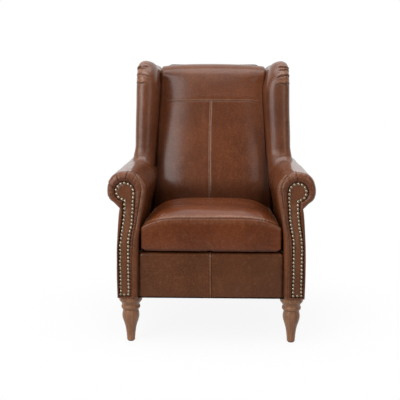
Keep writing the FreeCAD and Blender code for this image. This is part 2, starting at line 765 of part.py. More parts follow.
def dowel(middle, direction, extra=0.0):
    """A beech dowel, or the room for it."""
    length = DOWEL_LENGTH + 2 * extra
    return cylinder(DOWEL_RADIUS + extra, length, middle - direction * (length / 2), direction)


def both_sides(shapes):
    """Right-hand shapes and their left-hand copies as one group."""
    return Part.makeCompound(list(shapes) + [mirrored(s) for s in shapes])


def drilled(shape, rooms):
    """A piece with the rooms of the fixings taken out of it."""
    near = [r for r in rooms if r.BoundBox.intersect(shape.BoundBox)]
    return shape.cut(Part.makeCompound(near)) if near else shape


# ------------------------------------------------------------------ springs and webbing
def spring(x):
    """One zigzag spring from the front rail to the rear rail, seen from above."""
    y0 = BOARD_REAR_Y + 6.0
    y1 = post_front_y(RAIL_WOOD_TOP) + CROSS_RAIL - 6.0
    turns = int((y1 - y0) // SPRING_PITCH)
    pitch = (y1 - y0) / turns
    points = [V(x - SPRING_WIDTH / 2, y0, SPRING_Z)]
    side = 1
    for i in range(turns):
        y = y0 + (i + 0.5) * pitch
        points.append(V(x + side * SPRING_WIDTH / 2, y - pitch / 4, SPRING_Z))
        points.append(V(x + side * SPRING_WIDTH / 2, y + pitch / 4, SPRING_Z))
        side = -side
    points.append(V(x + side * SPRING_WIDTH / 2, y1, SPRING_Z))
    edges = []
    last = points[0]
    for i in range(1, len(points) - 1):
        before, corner, after = points[i - 1], points[i], points[i + 1]
        cut_in = min((corner - before).Length, (after - corner).Length) * 0.45
        enter = corner + (before - corner).normalize() * cut_in
        leave = corner + (after - corner).normalize() * cut_in
        edges.append(Part.LineSegment(last, enter).toShape())
        curve = Part.BezierCurve()
        curve.setPoles([enter, corner, leave])
        edges.append(curve.toShape())
        last = leave
    edges.append(Part.LineSegment(last, points[-1]).toShape())
    path = Part.Wire(edges)
    start = (edges[0].Vertexes[1].Point - edges[0].Vertexes[0].Point).normalize()
    ring = Part.Wire(Part.Circle(points[0], start, SPRING_WIRE / 2).toShape())
    return path.makePipeShell([ring], True, False)


def spring_columns():
    """X of each spring."""
    return [(i - (SPRING_COUNT - 1) / 2) * SPRING_SPACING for i in range(SPRING_COUNT)]


def spring_clip(x, y):
    """A folded clip on a rail's top, with a channel that the spring's end lies in."""
    low = RAIL_WOOD_TOP
    high = SPRING_Z + SPRING_WIRE / 2 + 1.4
    block = box(x - CLIP_LENGTH / 2, x + CLIP_LENGTH / 2, y - 7, y + 7, low, high)
    room = box(
        x - CLIP_LENGTH, x + CLIP_LENGTH, y - 8, y + 8,
        SPRING_Z - SPRING_WIRE / 2 - RUN_GAP, SPRING_Z + SPRING_WIRE / 2 + RUN_GAP,
    )
    spine = box(x - CLIP_LENGTH / 2, x - CLIP_LENGTH / 2 + 1.4, y - 7, y + 7, low, high)
    return block.cut(room).fuse(spine)


# ------------------------------------------------------------------ the chair
def build():
    """Makes and writes every piece."""
    os.makedirs(OUT, exist_ok=True)

    # fixings of the right-hand side, their rooms on both sides
    screws = [screw(p, d) for p, d in screw_spots()]
    dowels = [dowel(p, d) for p, d in dowel_spots()]
    rooms = [screw(p, d, RUN_GAP) for p, d in screw_spots()]
    rooms += [dowel(p, d, RUN_GAP) for p, d in dowel_spots()]
    rooms += inserts(RUN_GAP)
    rooms += bolts(RUN_GAP)
    rooms += glides(RUN_GAP)
    nails = [nail(p) for p in nail_points()]
    shank_rooms = [
        cylinder(NAIL_SHANK_RADIUS + RUN_GAP, NAIL_SHANK_LENGTH + 0.2, V(p.x, FACING_Y - 0.5, p.z), V(0, 1, 0))
        for p in nail_points()
    ]
    rooms += [mirrored(r) for r in rooms]

    # frame
    raked = behind_posts(0.0)
    arm_board = arm_bar(BOARD_INSET, BOARD_FRONT_Y, BOARD_REAR_Y)
    front_post = box(
        FRONT_POST_INNER, SIDE_RAIL_INNER, BOARD_REAR_Y, BOARD_REAR_Y + FRONT_POST_DEPTH, BODY_Z, RAIL_WOOD_TOP
    )
    side_rail = box(
        SIDE_RAIL_INNER, SIDE_RAIL_OUTER, BOARD_REAR_Y, REAR_Y, BODY_Z, BODY_Z + SIDE_RAIL_HEIGHT
    ).cut(raked)
    arm_rail = box(
        ARM_RAIL_INNER, ARM_RAIL_OUTER, BOARD_REAR_Y, REAR_Y, ARM_RAIL_FOOT, ARM_RAIL_FOOT + ARM_RAIL_HEIGHT
    ).cut(raked)
    post = skewed_bar(
        POST_INNER, POST_OUTER, post_front_y, lambda z: rear_y(z, COVER_ROOM), BODY_Z, POST_TOP
    )
    wing_board = wing_board_solid()
    posts = post.fuse(mirrored(post))
    front_rail = box(
        -FRONT_POST_INNER, FRONT_POST_INNER, BOARD_REAR_Y, FRONT_RAIL_REAR_Y, BODY_Z, RAIL_WOOD_TOP
    )

    def cross_rail(z0, z1):
        return solids_of(raked_board(POST_OUTER, post_front_y, CROSS_RAIL, z0, z1).cut(posts), 200000.0)

    rear_rail = cross_rail(BODY_Z, RAIL_WOOD_TOP)
    lumbar_rail = cross_rail(LUMBAR_RAIL_FOOT, LUMBAR_RAIL_FOOT + LUMBAR_RAIL_HEIGHT)
    top_rail = cross_rail(POST_TOP - TOP_RAIL_HEIGHT, POST_TOP)
    block_y = post_front_y(BODY_Z + BLOCK_HEIGHT) + 10.0
    corner = prism(
        [
            V(SIDE_RAIL_INNER, block_y, BODY_Z),
            V(SIDE_RAIL_INNER - BLOCK_SIZE - 15, block_y, BODY_Z),
            V(SIDE_RAIL_INNER, block_y - BLOCK_SIZE - 15, BODY_Z),
        ],
        V(0, 0, BLOCK_HEIGHT),
    ).cut(raked)

    straps = []
    for i in range(STRAP_COUNT):
        z = STRAP_FIRST + i * STRAP_SPACING
        half = (POST_OUTER + POST_INNER) / 2 + lean_shift(z + STRAP_WIDTH / 2)
        front = lambda h: post_front_y(h) - STRAP_THICKNESS
        strap = raked_board(half, front, STRAP_THICKNESS, z - STRAP_WIDTH / 2, z + STRAP_WIDTH / 2)
        straps.append(strap.cut(arm_rail).cut(mirrored(arm_rail)))
    strap_group = Part.makeCompound(straps)

    write("front_rail", drilled(front_rail, rooms))
    write("rear_rail", drilled(rear_rail, rooms))
    write("top_rail", drilled(top_rail, rooms))
    write("lumbar_rail", drilled(lumbar_rail, rooms))
    write("corner_blocks", both_sides([corner]))
    write("back_webbing", strap_group)
    write("frame_screws", both_sides(screws))
    write("frame_dowels", both_sides(dowels))

    # arms and wings
    arm_envelope = arm_bar(-SOFT_GAP, FRONT_Y - 5, REAR_Y + 40)
    arms = arm_envelope.fuse(mirrored(arm_envelope))
    facing_room = facing_bar(FACING_MARGIN + SOFT_GAP, FRONT_Y - 5, BOARD_FRONT_Y)
    facing = drilled(facing_bar(FACING_MARGIN, FACING_Y, BOARD_FRONT_Y), shank_rooms)
    edge_roll = arm_bar(LEATHER, FRONT_Y + LEATHER, BOARD_FRONT_Y).cut(facing_room)
    hollow = arm_bar(LEATHER + ARM_FOAM, BOARD_REAR_Y, REAR_Y).cut(box(0, FAR, -FAR, FAR, ARM_RAIL_FOOT, FAR))
    outer_hollow = box(FRONT_POST_INNER + 25, FAR, BOARD_REAR_Y, FAR, 0, NOTCH_Z)
    under_deck = box(0, FRONT_POST_INNER + 30, FRONT_RAIL_REAR_Y, FAR, 0, RAIL_WOOD_TOP - INSIDE_ARM_TUCK)
    frame_room = arm_board.fuse([front_post, side_rail, arm_rail, post, wing_board, front_rail])
    arm_padding = trimmed_arm(LEATHER).cut(hollow).cut(outer_hollow).cut(frame_room).cut(under_deck)
    arm_padding = solids_of(arm_padding.cut(back_cavity(0.4)).cut(strap_group), 3000.0)

    outer_skin = trimmed_arm(0.0, FRONT_Y).cut(trimmed_arm(LEATHER, FRONT_Y + LEATHER)).cut(facing_room)
    side_zone = box(FRONT_POST_INNER + 40, FAR, BOARD_FRONT_Y, FAR, 0, NOTCH_Z)
    side_panel = outer_skin.common(side_zone)
    arm_skin = outer_skin.cut(side_zone).cut(wing_board).cut(under_deck)
    arm_skin = arm_skin.cut(back_cavity(0.4)).cut(arm_rail.fuse(front_rail)).cut(strap_group)

    wing_zone = arms.fuse([behind_back(COVER_ROOM), back_cavity(0.4), strap_group])
    wing_outer = wing_solid(0.0)
    wing_inner = wing_solid(LEATHER)
    wing_skin = solids_of(wing_outer.cut(wing_inner).cut(wing_zone), 3000.0)
    wing_padding = solids_of(wing_inner.cut(wing_zone).cut(wing_board), 3000.0)

    right_pieces = {
        "front_post": drilled(front_post, rooms),
        "back_post": drilled(post, rooms),
        "side_rail": drilled(side_rail, rooms),
        "arm_rail": drilled(arm_rail, rooms),
        "arm_front_board": drilled(drilled(arm_board, rooms), shank_rooms),
        "wing_board": drilled(wing_board, rooms),
        "arm_foam": drilled(arm_padding, rooms),
        "arm_edge_roll": drilled(edge_roll, rooms),
        "wing_foam": drilled(wing_padding, rooms),
        "arm_cover": solids_of(drilled(arm_skin, rooms), 3000.0),
        "outside_arm_panel": side_panel,
        "wing_cover": wing_skin,
        "arm_facing": facing,
        "facing_nails": Part.makeCompound(nails),
        "front_leg": drilled(front_leg(), rooms),
        "rear_leg": drilled(rear_leg(), rooms),
    }
    for name, shape in right_pieces.items():
        write(name + "_right", shape)
        write(name + "_left", mirrored(shape))

    # inside and outside back
    back_zone = arms.fuse([behind_back(COVER_ROOM), back_cavity(0.4), strap_group])
    back_outer = back_solid(0.0)
    back_inner = back_solid(LEATHER)
    write("inside_back_cover", solids_of(back_outer.cut(back_inner).cut(back_zone), 3000.0))
    write("back_foam", solids_of(back_inner.cut(back_zone), 3000.0))
    middle = box(-FRONT_POST_INNER, FRONT_POST_INNER, -200, REAR_Y + 40, BODY_Z, BACK_TOP - 120)
    arm_full = arm_bar(0.0, 0, REAR_Y + 40)
    outline = arm_full.fuse([mirrored(arm_full), wing_outer, mirrored(wing_outer), middle, back_outer])
    inner_part = outline.cut(behind_back(LEATHER)).common(behind_back(COVER_ROOM))
    outer_part = outline.cut(behind_back(0.0)).common(behind_back(LEATHER))
    write("outside_back_liner", solids_of(inner_part, 3000.0))
    write("outside_back_cover", solids_of(outer_part, 3000.0))

    # front rail cover and deck
    def rail_form(inset):
        rear = RAIL_FRONT_Y + RAIL_COVER_DEPTH
        form = box(-SEAT_HALF - 5, SEAT_HALF + 5, RAIL_FRONT_Y + inset, rear, BODY_Z, RAIL_TOP - inset)
        lip = [
            e for e in form.Edges
            if e.BoundBox.XLength > 100 and e.BoundBox.YMax < RAIL_FRONT_Y + inset + 0.1 and e.BoundBox.ZMin > 300
        ]
        return form.makeFillet(RAIL_TOP_ROUND - inset, lip).cut(arms)

    columns = spring_columns()
    front_clip_y = BOARD_REAR_Y + 12.0
    rear_clip_y = post_front_y(RAIL_WOOD_TOP) + CROSS_RAIL / 2
    springs = Part.makeCompound([spring(x) for x in columns])
    clips = []
    for x in columns:
        for y in (front_clip_y, rear_clip_y):
            clips.append(spring_clip(x, y).cut(springs))
    write("seat_springs", springs)
    write("spring_clips", Part.makeCompound(clips))
    rail_wood = front_rail.fuse([arm_board, mirrored(arm_board), front_post, mirrored(front_post)])
    clip_room = box(-SEAT_HALF, SEAT_HALF, BOARD_REAR_Y + 2, FRONT_RAIL_REAR_Y, RAIL_WOOD_TOP, RAIL_WOOD_TOP + 8.0)
    behind_rail = box(-FAR, FAR, FRONT_RAIL_REAR_Y, FAR, -FAR, FAR)
    write("front_rail_cover", rail_form(0.0).cut(rail_form(LEATHER)))
    write("front_edge_foam", solids_of(rail_form(LEATHER).cut(rail_wood).cut(clip_room).cut(behind_rail), 3000.0))
    deck_rear = rear_y(RAIL_TOP, COVER_ROOM + 2.0)
    half = SEAT_HALF + 5
    deck_top = RAIL_TOP - DECK_CLOTH
    cloth = box(-half, half, RAIL_FRONT_Y + RAIL_COVER_DEPTH, post_front_y(RAIL_TOP) + CROSS_RAIL, deck_top, RAIL_TOP)
    write("deck_cloth", cloth.cut(arms))
    pad_low = SPRING_Z + SPRING_WIRE / 2 + 0.2
    pad = box(-half, half, FRONT_RAIL_REAR_Y, rear_clip_y - 9.0, pad_low, deck_top)
    rear_pad = box(-half, half, rear_clip_y - 9.0, post_front_y(RAIL_TOP) + CROSS_RAIL, RAIL_WOOD_TOP + 8.0, deck_top)
    under_cover = box(-half, half, FRONT_RAIL_REAR_Y, RAIL_FRONT_Y + RAIL_COVER_DEPTH, RAIL_TOP - LEATHER, RAIL_TOP)
    write("deck_pad", pad.fuse(rear_pad).cut(arms).cut(under_cover).removeSplitter())

    def y_at(z):
        return rear_y(z, COVER_ROOM)

    hem = 4.0
    cloth_under = prism(
        [
            V(-BODY_HALF + hem, BOARD_FRONT_Y, LEG_HEIGHT),
            V(BODY_HALF - hem, BOARD_FRONT_Y, LEG_HEIGHT),
            V(BODY_HALF - hem, y_at(LEG_HEIGHT), LEG_HEIGHT),
            V(-BODY_HALF + hem, y_at(LEG_HEIGHT), LEG_HEIGHT),
        ],
        V(0, 0, DUST_CLOTH),
    )
    write("dust_cover", drilled(cloth_under, rooms))

    # legs' fixings
    write("leg_bolts", both_sides(bolts()))
    write("leg_inserts", both_sides(inserts()))
    write("leg_glides", both_sides(glides()))

    # seat cushion
    cushion = cushion_solid(0.0)
    filling = cushion_solid(LEATHER)
    write("seat_cushion_cover", cushion.cut(filling))
    write("seat_foam", filling)
    write("cushion_zip", zip_tape())
    write("zip_slider", zip_slider())


build()
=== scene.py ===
"""A wingback armchair in waxed brown leather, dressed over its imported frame.

Metres, +Z up, the front faces -Y. Left and right are as seen from the front: right is +X.
"""

import json
import logging
import math
import random
from dataclasses import dataclass
from enum import Enum
from typing import Callable

import bpy
import numpy as np
from mathutils import Matrix, Vector, noise
from mathutils.geometry import delaunay_2d_cdt


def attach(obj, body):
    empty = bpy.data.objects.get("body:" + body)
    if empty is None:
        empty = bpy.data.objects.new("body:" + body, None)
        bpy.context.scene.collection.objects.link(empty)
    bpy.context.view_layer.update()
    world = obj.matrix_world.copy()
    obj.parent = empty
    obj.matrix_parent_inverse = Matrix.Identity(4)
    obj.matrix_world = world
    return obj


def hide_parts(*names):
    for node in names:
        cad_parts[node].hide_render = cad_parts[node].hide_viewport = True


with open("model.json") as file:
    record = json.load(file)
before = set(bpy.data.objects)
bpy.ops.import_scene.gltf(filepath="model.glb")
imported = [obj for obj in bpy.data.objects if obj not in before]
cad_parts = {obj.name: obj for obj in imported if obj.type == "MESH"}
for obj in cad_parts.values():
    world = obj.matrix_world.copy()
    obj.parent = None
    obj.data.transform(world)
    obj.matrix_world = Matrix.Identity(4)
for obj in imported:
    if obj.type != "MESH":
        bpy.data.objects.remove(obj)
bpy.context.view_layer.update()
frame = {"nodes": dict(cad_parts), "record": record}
LOG = logging.getLogger("armchair")
Array = np.ndarray
Piece = bpy.types.Object
Socket = bpy.types.NodeSocket
ROW_RATIO = 0.866
KEEP_OFF_EDGE = 0.45


# ---------------------------------------------------------------- named options
class Side(Enum):
    """A side of the chair, as seen from the front, with the sign of its X."""

    LEFT = -1
    RIGHT = 1

    @property
    def word(self) -> str:
        """The side's name as the nodes spell it."""
        return self.name.lower()


class Mask(Enum):
    """A value stored on each vertex of a leather piece for its material to read."""

    # Pale rubbed wear, and painted highlights along seams, on the cushion's lip and along the top of the back.
    WEAR = "wear"
    # Painted shade: darkens the hide in creases, seams, gaps and along edges.
    CREASE = "crease"


# ---------------------------------------------------------------- curves and fields
def ramp(low: float, high: float, value: Array) -> Array:
    """Rises smoothly from 0 to 1 between two values.

    Args:
        low: Where the rise starts.
        high: Where it ends; below low, the curve falls instead.
        value: Where it is read.

    Returns:
        The curve's height there.
    """
    t = np.clip((np.asarray(value, dtype=float) - low) / (high - low), 0.0, 1.0)
    return t * t * (3.0 - 2.0 * t)


def hump(value: Array, middle: float, width: float) -> Array:
    """A bell curve of height 1.

    Args:
        value: Where it is read.
        middle: Its centre.
        width: Its standard deviation.

    Returns:
        The curve's height there.
    """
    return np.exp(-0.5 * ((np.asarray(value, dtype=float) - middle) / width) ** 2)


def wave(value: Array, length: float, shift: Array | float = 0.0) -> Array:
    """A sine wave of height 1, of a length in metres, shifted by an angle."""
    return np.sin(value * 2 * math.pi / length + shift)


def gathers(value: Array, length: float, swing: float, rate: float, shift: float = 0.0) -> Array:
    """Gathers along a seam: a wave whose length wanders.

    Args:
        value: How far along the seam.
        length: The mean distance between two gathers.
        swing: How much they wander.
        rate: How fast the wandering changes.
        shift: An angle that makes the wandering this seam's own.

    Returns:
        The wave's height there, -1 to 1.
    """
    return wave(value, length, swing * np.sin(value * rate + shift))


def run_length(points: Array) -> Array:
    """The way along a polyline from its first point to each point."""
    return np.concatenate([[0.0], np.cumsum(np.linalg.norm(np.diff(points, axis=0), axis=1))])


def unit(vectors: Array) -> Array:
    """Vectors brought to length 1."""
    return vectors / np.linalg.norm(vectors, axis=-1, keepdims=True)


def right_normals(line: Array, closed: bool = False) -> Array:
    """Normals to the right of a flat line's direction.

    Args:
        line: The line's points in two coordinates.
        closed: Whether the last point joins the first.

    Returns:
        One normal a point.
    """
    ahead = np.roll(line, -1, axis=0) - np.roll(line, 1, axis=0) if closed else np.gradient(line, axis=0)
    along = unit(ahead)
    return np.column_stack([along[:, 1], -along[:, 0]])


def resample(points: Array, count: int) -> Array:
    """Spreads points evenly along a polyline.

    Args:
        points: The polyline, one point a row.
        count: How many points to return.

    Returns:
        The evenly spaced points, ends included.
    """
    points = np.asarray(points, dtype=float)
    run = run_length(points)
    at = np.linspace(0.0, run[-1], count)
    return np.stack([np.interp(at, run, points[:, k]) for k in range(points.shape[1])], axis=1)


def spline(points: list, count: int) -> Array:
    """A smooth curve through points, evenly sampled.

    Args:
        points: The points it passes through.
        count: How many samples to return.

    Returns:
        The samples, one a row.
    """
    p = np.asarray(points, dtype=float)
    p = np.vstack([2 * p[0] - p[1], p, 2 * p[-1] - p[-2]])
    dense = []
    for i in range(1, len(p) - 2):
        knots = [0.0]
        for a, b in ((i - 1, i), (i, i + 1), (i + 1, i + 2)):
            knots.append(knots[-1] + max(1e-9, np.linalg.norm(p[b] - p[a])) ** 0.5)
        t = np.linspace(knots[1], knots[2], 24, endpoint=False)[:, None]
        t0, t1, t2, t3 = knots
        a1 = (t1 - t) / (t1 - t0) * p[i - 1] + (t - t0) / (t1 - t0) * p[i]
        a2 = (t2 - t) / (t2 - t1) * p[i] + (t - t1) / (t2 - t1) * p[i + 1]
        a3 = (t3 - t) / (t3 - t2) * p[i + 1] + (t - t2) / (t3 - t2) * p[i + 2]
        b1 = (t2 - t) / (t2 - t0) * a1 + (t - t0) / (t2 - t0) * a2
        b2 = (t3 - t) / (t3 - t1) * a2 + (t - t1) / (t3 - t1) * a3
        dense.append((t2 - t) / (t2 - t1) * b1 + (t - t1) / (t2 - t1) * b2)
    dense.append(p[-2:-1])
    return resample(np.vstack(dense), count)


def arc(centre: tuple, radius: float, start: float, end: float, count: int) -> Array:
    """Points along a circle's arc.

    Args:
        centre: Its centre, in the section's two coordinates.
        radius: Its radius.
        start: The first point's angle, in degrees.
        end: The last point's angle.
        count: How many points.

    Returns:
        The points, one a row.
    """
    a = np.radians(np.linspace(start, end, count))
    return np.stack([centre[0] + radius * np.cos(a), centre[1] + radius * np.sin(a)], axis=1)


def ripple(points: Array, scale: float, seed: float) -> Array:
    """Smooth seeded noise read at points, about -1 to 1.

    Args:
        points: Where it is read, in metres.
        scale: Waves to the metre.
        seed: A shift that makes each piece's noise its own.

    Returns:
        One value a point.
    """
    flat = points.reshape(-1, 3)
    shift = Vector((seed * 7.3, seed * 3.1, seed * 5.7))
    values = [noise.noise(Vector(p) * scale + shift) for p in flat.tolist()]
    return np.array(values).reshape(points.shape[:-1])


# ---------------------------------------------------------------- meshes
def linked(name: str, data: bpy.types.ID) -> Piece:
    """Puts a mesh, a lamp or a camera into the scene.

    Args:
        name: The object's name.
        data: What it shows.

    Returns:
        The linked object.
    """
    made = bpy.data.objects.new(name, data)
    bpy.context.scene.collection.objects.link(made)
    return made


def store_masks(mesh: bpy.types.Mesh, masks: dict) -> None:
    """Stores each Mask on a mesh's vertices, 0 where none is given.

    Args:
        mesh: The mesh.
        masks: A value a vertex for each Mask.
    """
    for mask in Mask:
        old = mesh.attributes.get(mask.value)
        if old is not None:
            mesh.attributes.remove(old)
        values = np.asarray(masks.get(mask, np.zeros(len(mesh.vertices))), dtype=float)
        layer = mesh.attributes.new(mask.value, "FLOAT", "POINT")
        layer.data.foreach_set("value", np.clip(values.ravel(), 0.0, 1.0))


def finish_mesh(name: str, verts: Array, faces: list, masks: dict | None = None) -> Piece:
    """Makes a smooth-shaded object from vertices and faces.

    Args:
        name: The piece's name.
        verts: One vertex a row.
        faces: Vertex numbers of each face.
        masks: A value a vertex for each Mask.

    Returns:
        The linked object.
    """
    mesh = bpy.data.meshes.new(name)
    mesh.from_pydata(np.asarray(verts, dtype=float).tolist(), [], faces)
    mesh.validate()
    mesh.shade_smooth()
    store_masks(mesh, masks or {})
    return linked(name, mesh)


def grid_faces(rows: int, columns: int, ring: bool = False) -> list:
    """Quads that join a grid of vertices.

    Args:
        rows: Its rows.
        columns: Its columns.
        ring: Whether the last column joins the first.

    Returns:
        Vertex numbers of each quad.
    """
    last = columns if ring else columns - 1
    faces = []
    for near in range(0, (rows - 1) * columns, columns):
        far = near + columns
        for j in range(last):
            k = (j + 1) % columns
            faces.append((near + j, far + j, far + k, near + k))
    return faces


def sheet_piece(
    name: str, points: Array, inside: tuple, masks: dict | None = None, ring: bool = False, caps: bool = False
) -> Piece:
    """Makes a grid of points into a piece whose faces look away from a point inside it.

    Args:
        name: The piece's name.
        points: The grid, rows by columns by three.
        inside: A point on the hidden side of the surface.
        masks: A grid of values for each Mask.
        ring: Whether the last column joins the first.
        caps: Whether the first and last rows are closed, for a ring.

    Returns:
        The linked object.
    """
    rows, columns = points.shape[:2]
    faces = grid_faces(rows, columns, ring)
    verts = points.reshape(-1, 3)
    if caps:
        faces.append(tuple(range(columns)))
        faces.append(tuple(reversed(range((rows - 1) * columns, rows * columns))))
    score = 0.0
    for face in faces[:: max(1, len(faces) // 400)]:
        score += float(np.sign(facet_normal(verts, face) @ (verts[face[0]] - np.asarray(inside))))
    if score < 0:
        faces = [tuple(reversed(face)) for face in faces]
    return finish_mesh(name, verts, faces, masks)


def filled_outline(outline: Array, spacing: float) -> tuple[Array, list]:
    """Fills a flat closed outline with an even mesh of triangles.

    Args:
        outline: The outline's points in two coordinates, without the first repeated.
        spacing: The distance between inner points.

    Returns:
        The vertices in two coordinates, and the triangles.
    """
    low = outline.min(axis=0)
    high = outline.max(axis=0)
    nx = int((high[0] - low[0]) / spacing) + 1
    nz = int((high[1] - low[1]) / (spacing * ROW_RATIO)) + 1
    inner = []
    for k in range(nz):
        shift = 0.5 * spacing * (k % 2)
        for i in range(nx):
            inner.append((low[0] + i * spacing + shift, low[1] + k * spacing * ROW_RATIO))
    inner = np.array(inner)
    inner = inner[inside_outline(inner, outline)]
    inner = inner[edge_distance(inner, outline) > KEEP_OFF_EDGE * spacing]
    coords = [Vector(p) for p in np.vstack([outline, inner]).tolist()]
    count = len(outline)
    edges = [(i, (i + 1) % count) for i in range(count)]
    verts, _, faces, *_ = delaunay_2d_cdt(coords, edges, [], 1, 1e-7)
    return np.array([list(v) for v in verts]), [tuple(f) for f in faces]


def inside_outline(points: Array, outline: Array) -> Array:
    """Tells which points lie inside a closed outline.

    Args:
        points: The points, one a row.
        outline: The outline's corners.

    Returns:
        True for each point inside.
    """
    inside = np.zeros(len(points), dtype=bool)
    for a, b in zip(outline, np.roll(outline, -1, axis=0)):
        spans = (a[1] > points[:, 1]) != (b[1] > points[:, 1])
        cross = a[0] + (points[:, 1] - a[1]) * (b[0] - a[0]) / (b[1] - a[1] + 1e-15)
        inside ^= spans & (points[:, 0] < cross)
    return inside


def edge_distance(points: Array, outline: Array, closed: bool = True) -> Array:
    """Distance from each point to the nearest run of an outline.

    Args:
        points: The points, one a row.
        outline: The outline's corners.
        closed: Whether the last corner joins the first.

    Returns:
        One distance a point.
    """
    best = np.full(len(points), 1e9)
    ends = np.roll(outline, -1, axis=0)
    runs = list(zip(outline, ends)) if closed else list(zip(outline[:-1], ends[:-1]))
    for a, b in runs:
        along = b - a
        t = np.clip(((points - a) @ along) / (along @ along + 1e-15), 0.0, 1.0)
        best = np.minimum(best, np.linalg.norm(points - (a + t[:, None] * along), axis=1))
    return best


def facet_normal(verts: Array, face: tuple) -> Array:
    """The normal of a face, from its first three corners."""
    a, b, c = verts[list(face)[:3]]
    return np.cross(b - a, c - a)


def skirted_panel(
    name: str, outline: Array, panel: tuple[Array, list], depths: tuple, masks: tuple, mirror: float = 1.0
) -> Piece:
    """Makes an upright panel with a wall round its edge, all of it looking outwards.

    Args:
        name: The piece's name.
        outline: The panel's closed outline in X and Z.
        panel: Its vertices in X and Z, and its triangles.
        depths: The Y of each vertex, and the Y of the wall's hidden edge.
        masks: The panel's wear and its painted crease shade; the wall's edge is all painted shade.
        mirror: -1 to mirror the panel in X.

    Returns:
        The linked object.
    """
    flat, faces = panel
    shown, hidden = depths
    count, base = len(outline), len(flat)
    skirt = np.column_stack([outline[:, 0], np.broadcast_to(hidden, count), outline[:, 1]])
    verts = np.vstack([np.column_stack([flat[:, 0], shown, flat[:, 1]]), skirt])
    verts[:, 0] *= mirror
    order = [int(np.argmin(np.linalg.norm(flat - p, axis=1))) for p in outline]
    walls = [(order[i], order[(i + 1) % count], base + (i + 1) % count, base + i) for i in range(count)]
    if facet_normal(verts, faces[0])[1] * (np.mean(shown) - np.mean(hidden)) < 0:
        faces = [tuple(reversed(face)) for face in faces]
    if facet_normal(verts, walls[0]) @ (verts[walls[0][0]] - verts[:base].mean(axis=0)) < 0:
        walls = [tuple(reversed(wall)) for wall in walls]
    wear = np.append(masks[0], np.zeros(count))
    # The hidden wall is all painted shade.
    crease = np.append(masks[1], np.ones(count))
    return finish_mesh(name, verts, faces + walls, {Mask.WEAR: wear, Mask.CREASE: crease})


def nearest_mean(away: Array, count: int, ease: float, *fields: Array) -> list[Array]:
    """Averages fields over the nearest vertices, the nearer ones counting more.

    Args:
        away: How far each vertex is.
        count: How many vertices are read.
        ease: What keeps a vertex that is hit from counting alone.
        fields: A value or vector a vertex.

    Returns:
        Each field's mean.
    """
    near = np.argsort(away)[:count]
    weight = 1.0 / (away[near] + ease)
    weight /= weight.sum()
    return [field[near].T @ weight for field in fields]


def bars_along(
    name: str, path: Array, normal: Array, length: float, gap: float, radius: float, sink: float = 0.3
) -> Piece:
    """Lays a row of stitches along a path, each a short rounded bar that dips into the leather at its ends.

    Args:
        name: The piece's name.
        path: The seam's points in three coordinates, evenly spaced.
        normal: The surface's outward normal at each point.
        length: A stitch's length.
        gap: The space between stitches.
        radius: The thread's radius.
        sink: How deep the ends go, in thread radii times four.

    Returns:
        The linked object.
    """
    run = run_length(path)
    verts, faces = [], []
    start = gap / 2
    sides, steps = 6, 5
    turn = 2 * math.pi * np.arange(sides) / sides
    swell = radius * np.array([0.65, 1.0, 1.0, 1.0, 0.65])
    while start + length < run[-1]:
        at = np.linspace(start, start + length, steps)
        middle = np.stack([np.interp(at, run, path[:, k]) for k in range(3)], axis=1)
        up = unit(np.stack([np.interp(at, run, normal[:, k]) for k in range(3)], axis=1))
        side = np.cross(unit(np.gradient(middle, axis=0)), up)
        ends = np.array([1.0, 0.25, 0.0, 0.25, 1.0])[:, None]
        middle = middle + up * radius * (0.5 - 4 * sink * ends)
        base = len(verts)
        around = side[:, None] * np.cos(turn)[:, None] + up[:, None] * np.sin(turn)[:, None]
        verts += list((middle[:, None] + around * swell[:, None, None]).reshape(-1, 3))
        for i, j, k, m in grid_faces(steps, sides, True):
            faces.append((base + m, base + k, base + j, base + i))
        faces.append(tuple(base + k for k in range(sides)))
        faces.append(tuple(base + (steps - 1) * sides + k for k in reversed(range(sides))))
        start += length + gap
    return finish_mesh(name, np.array(verts), faces)


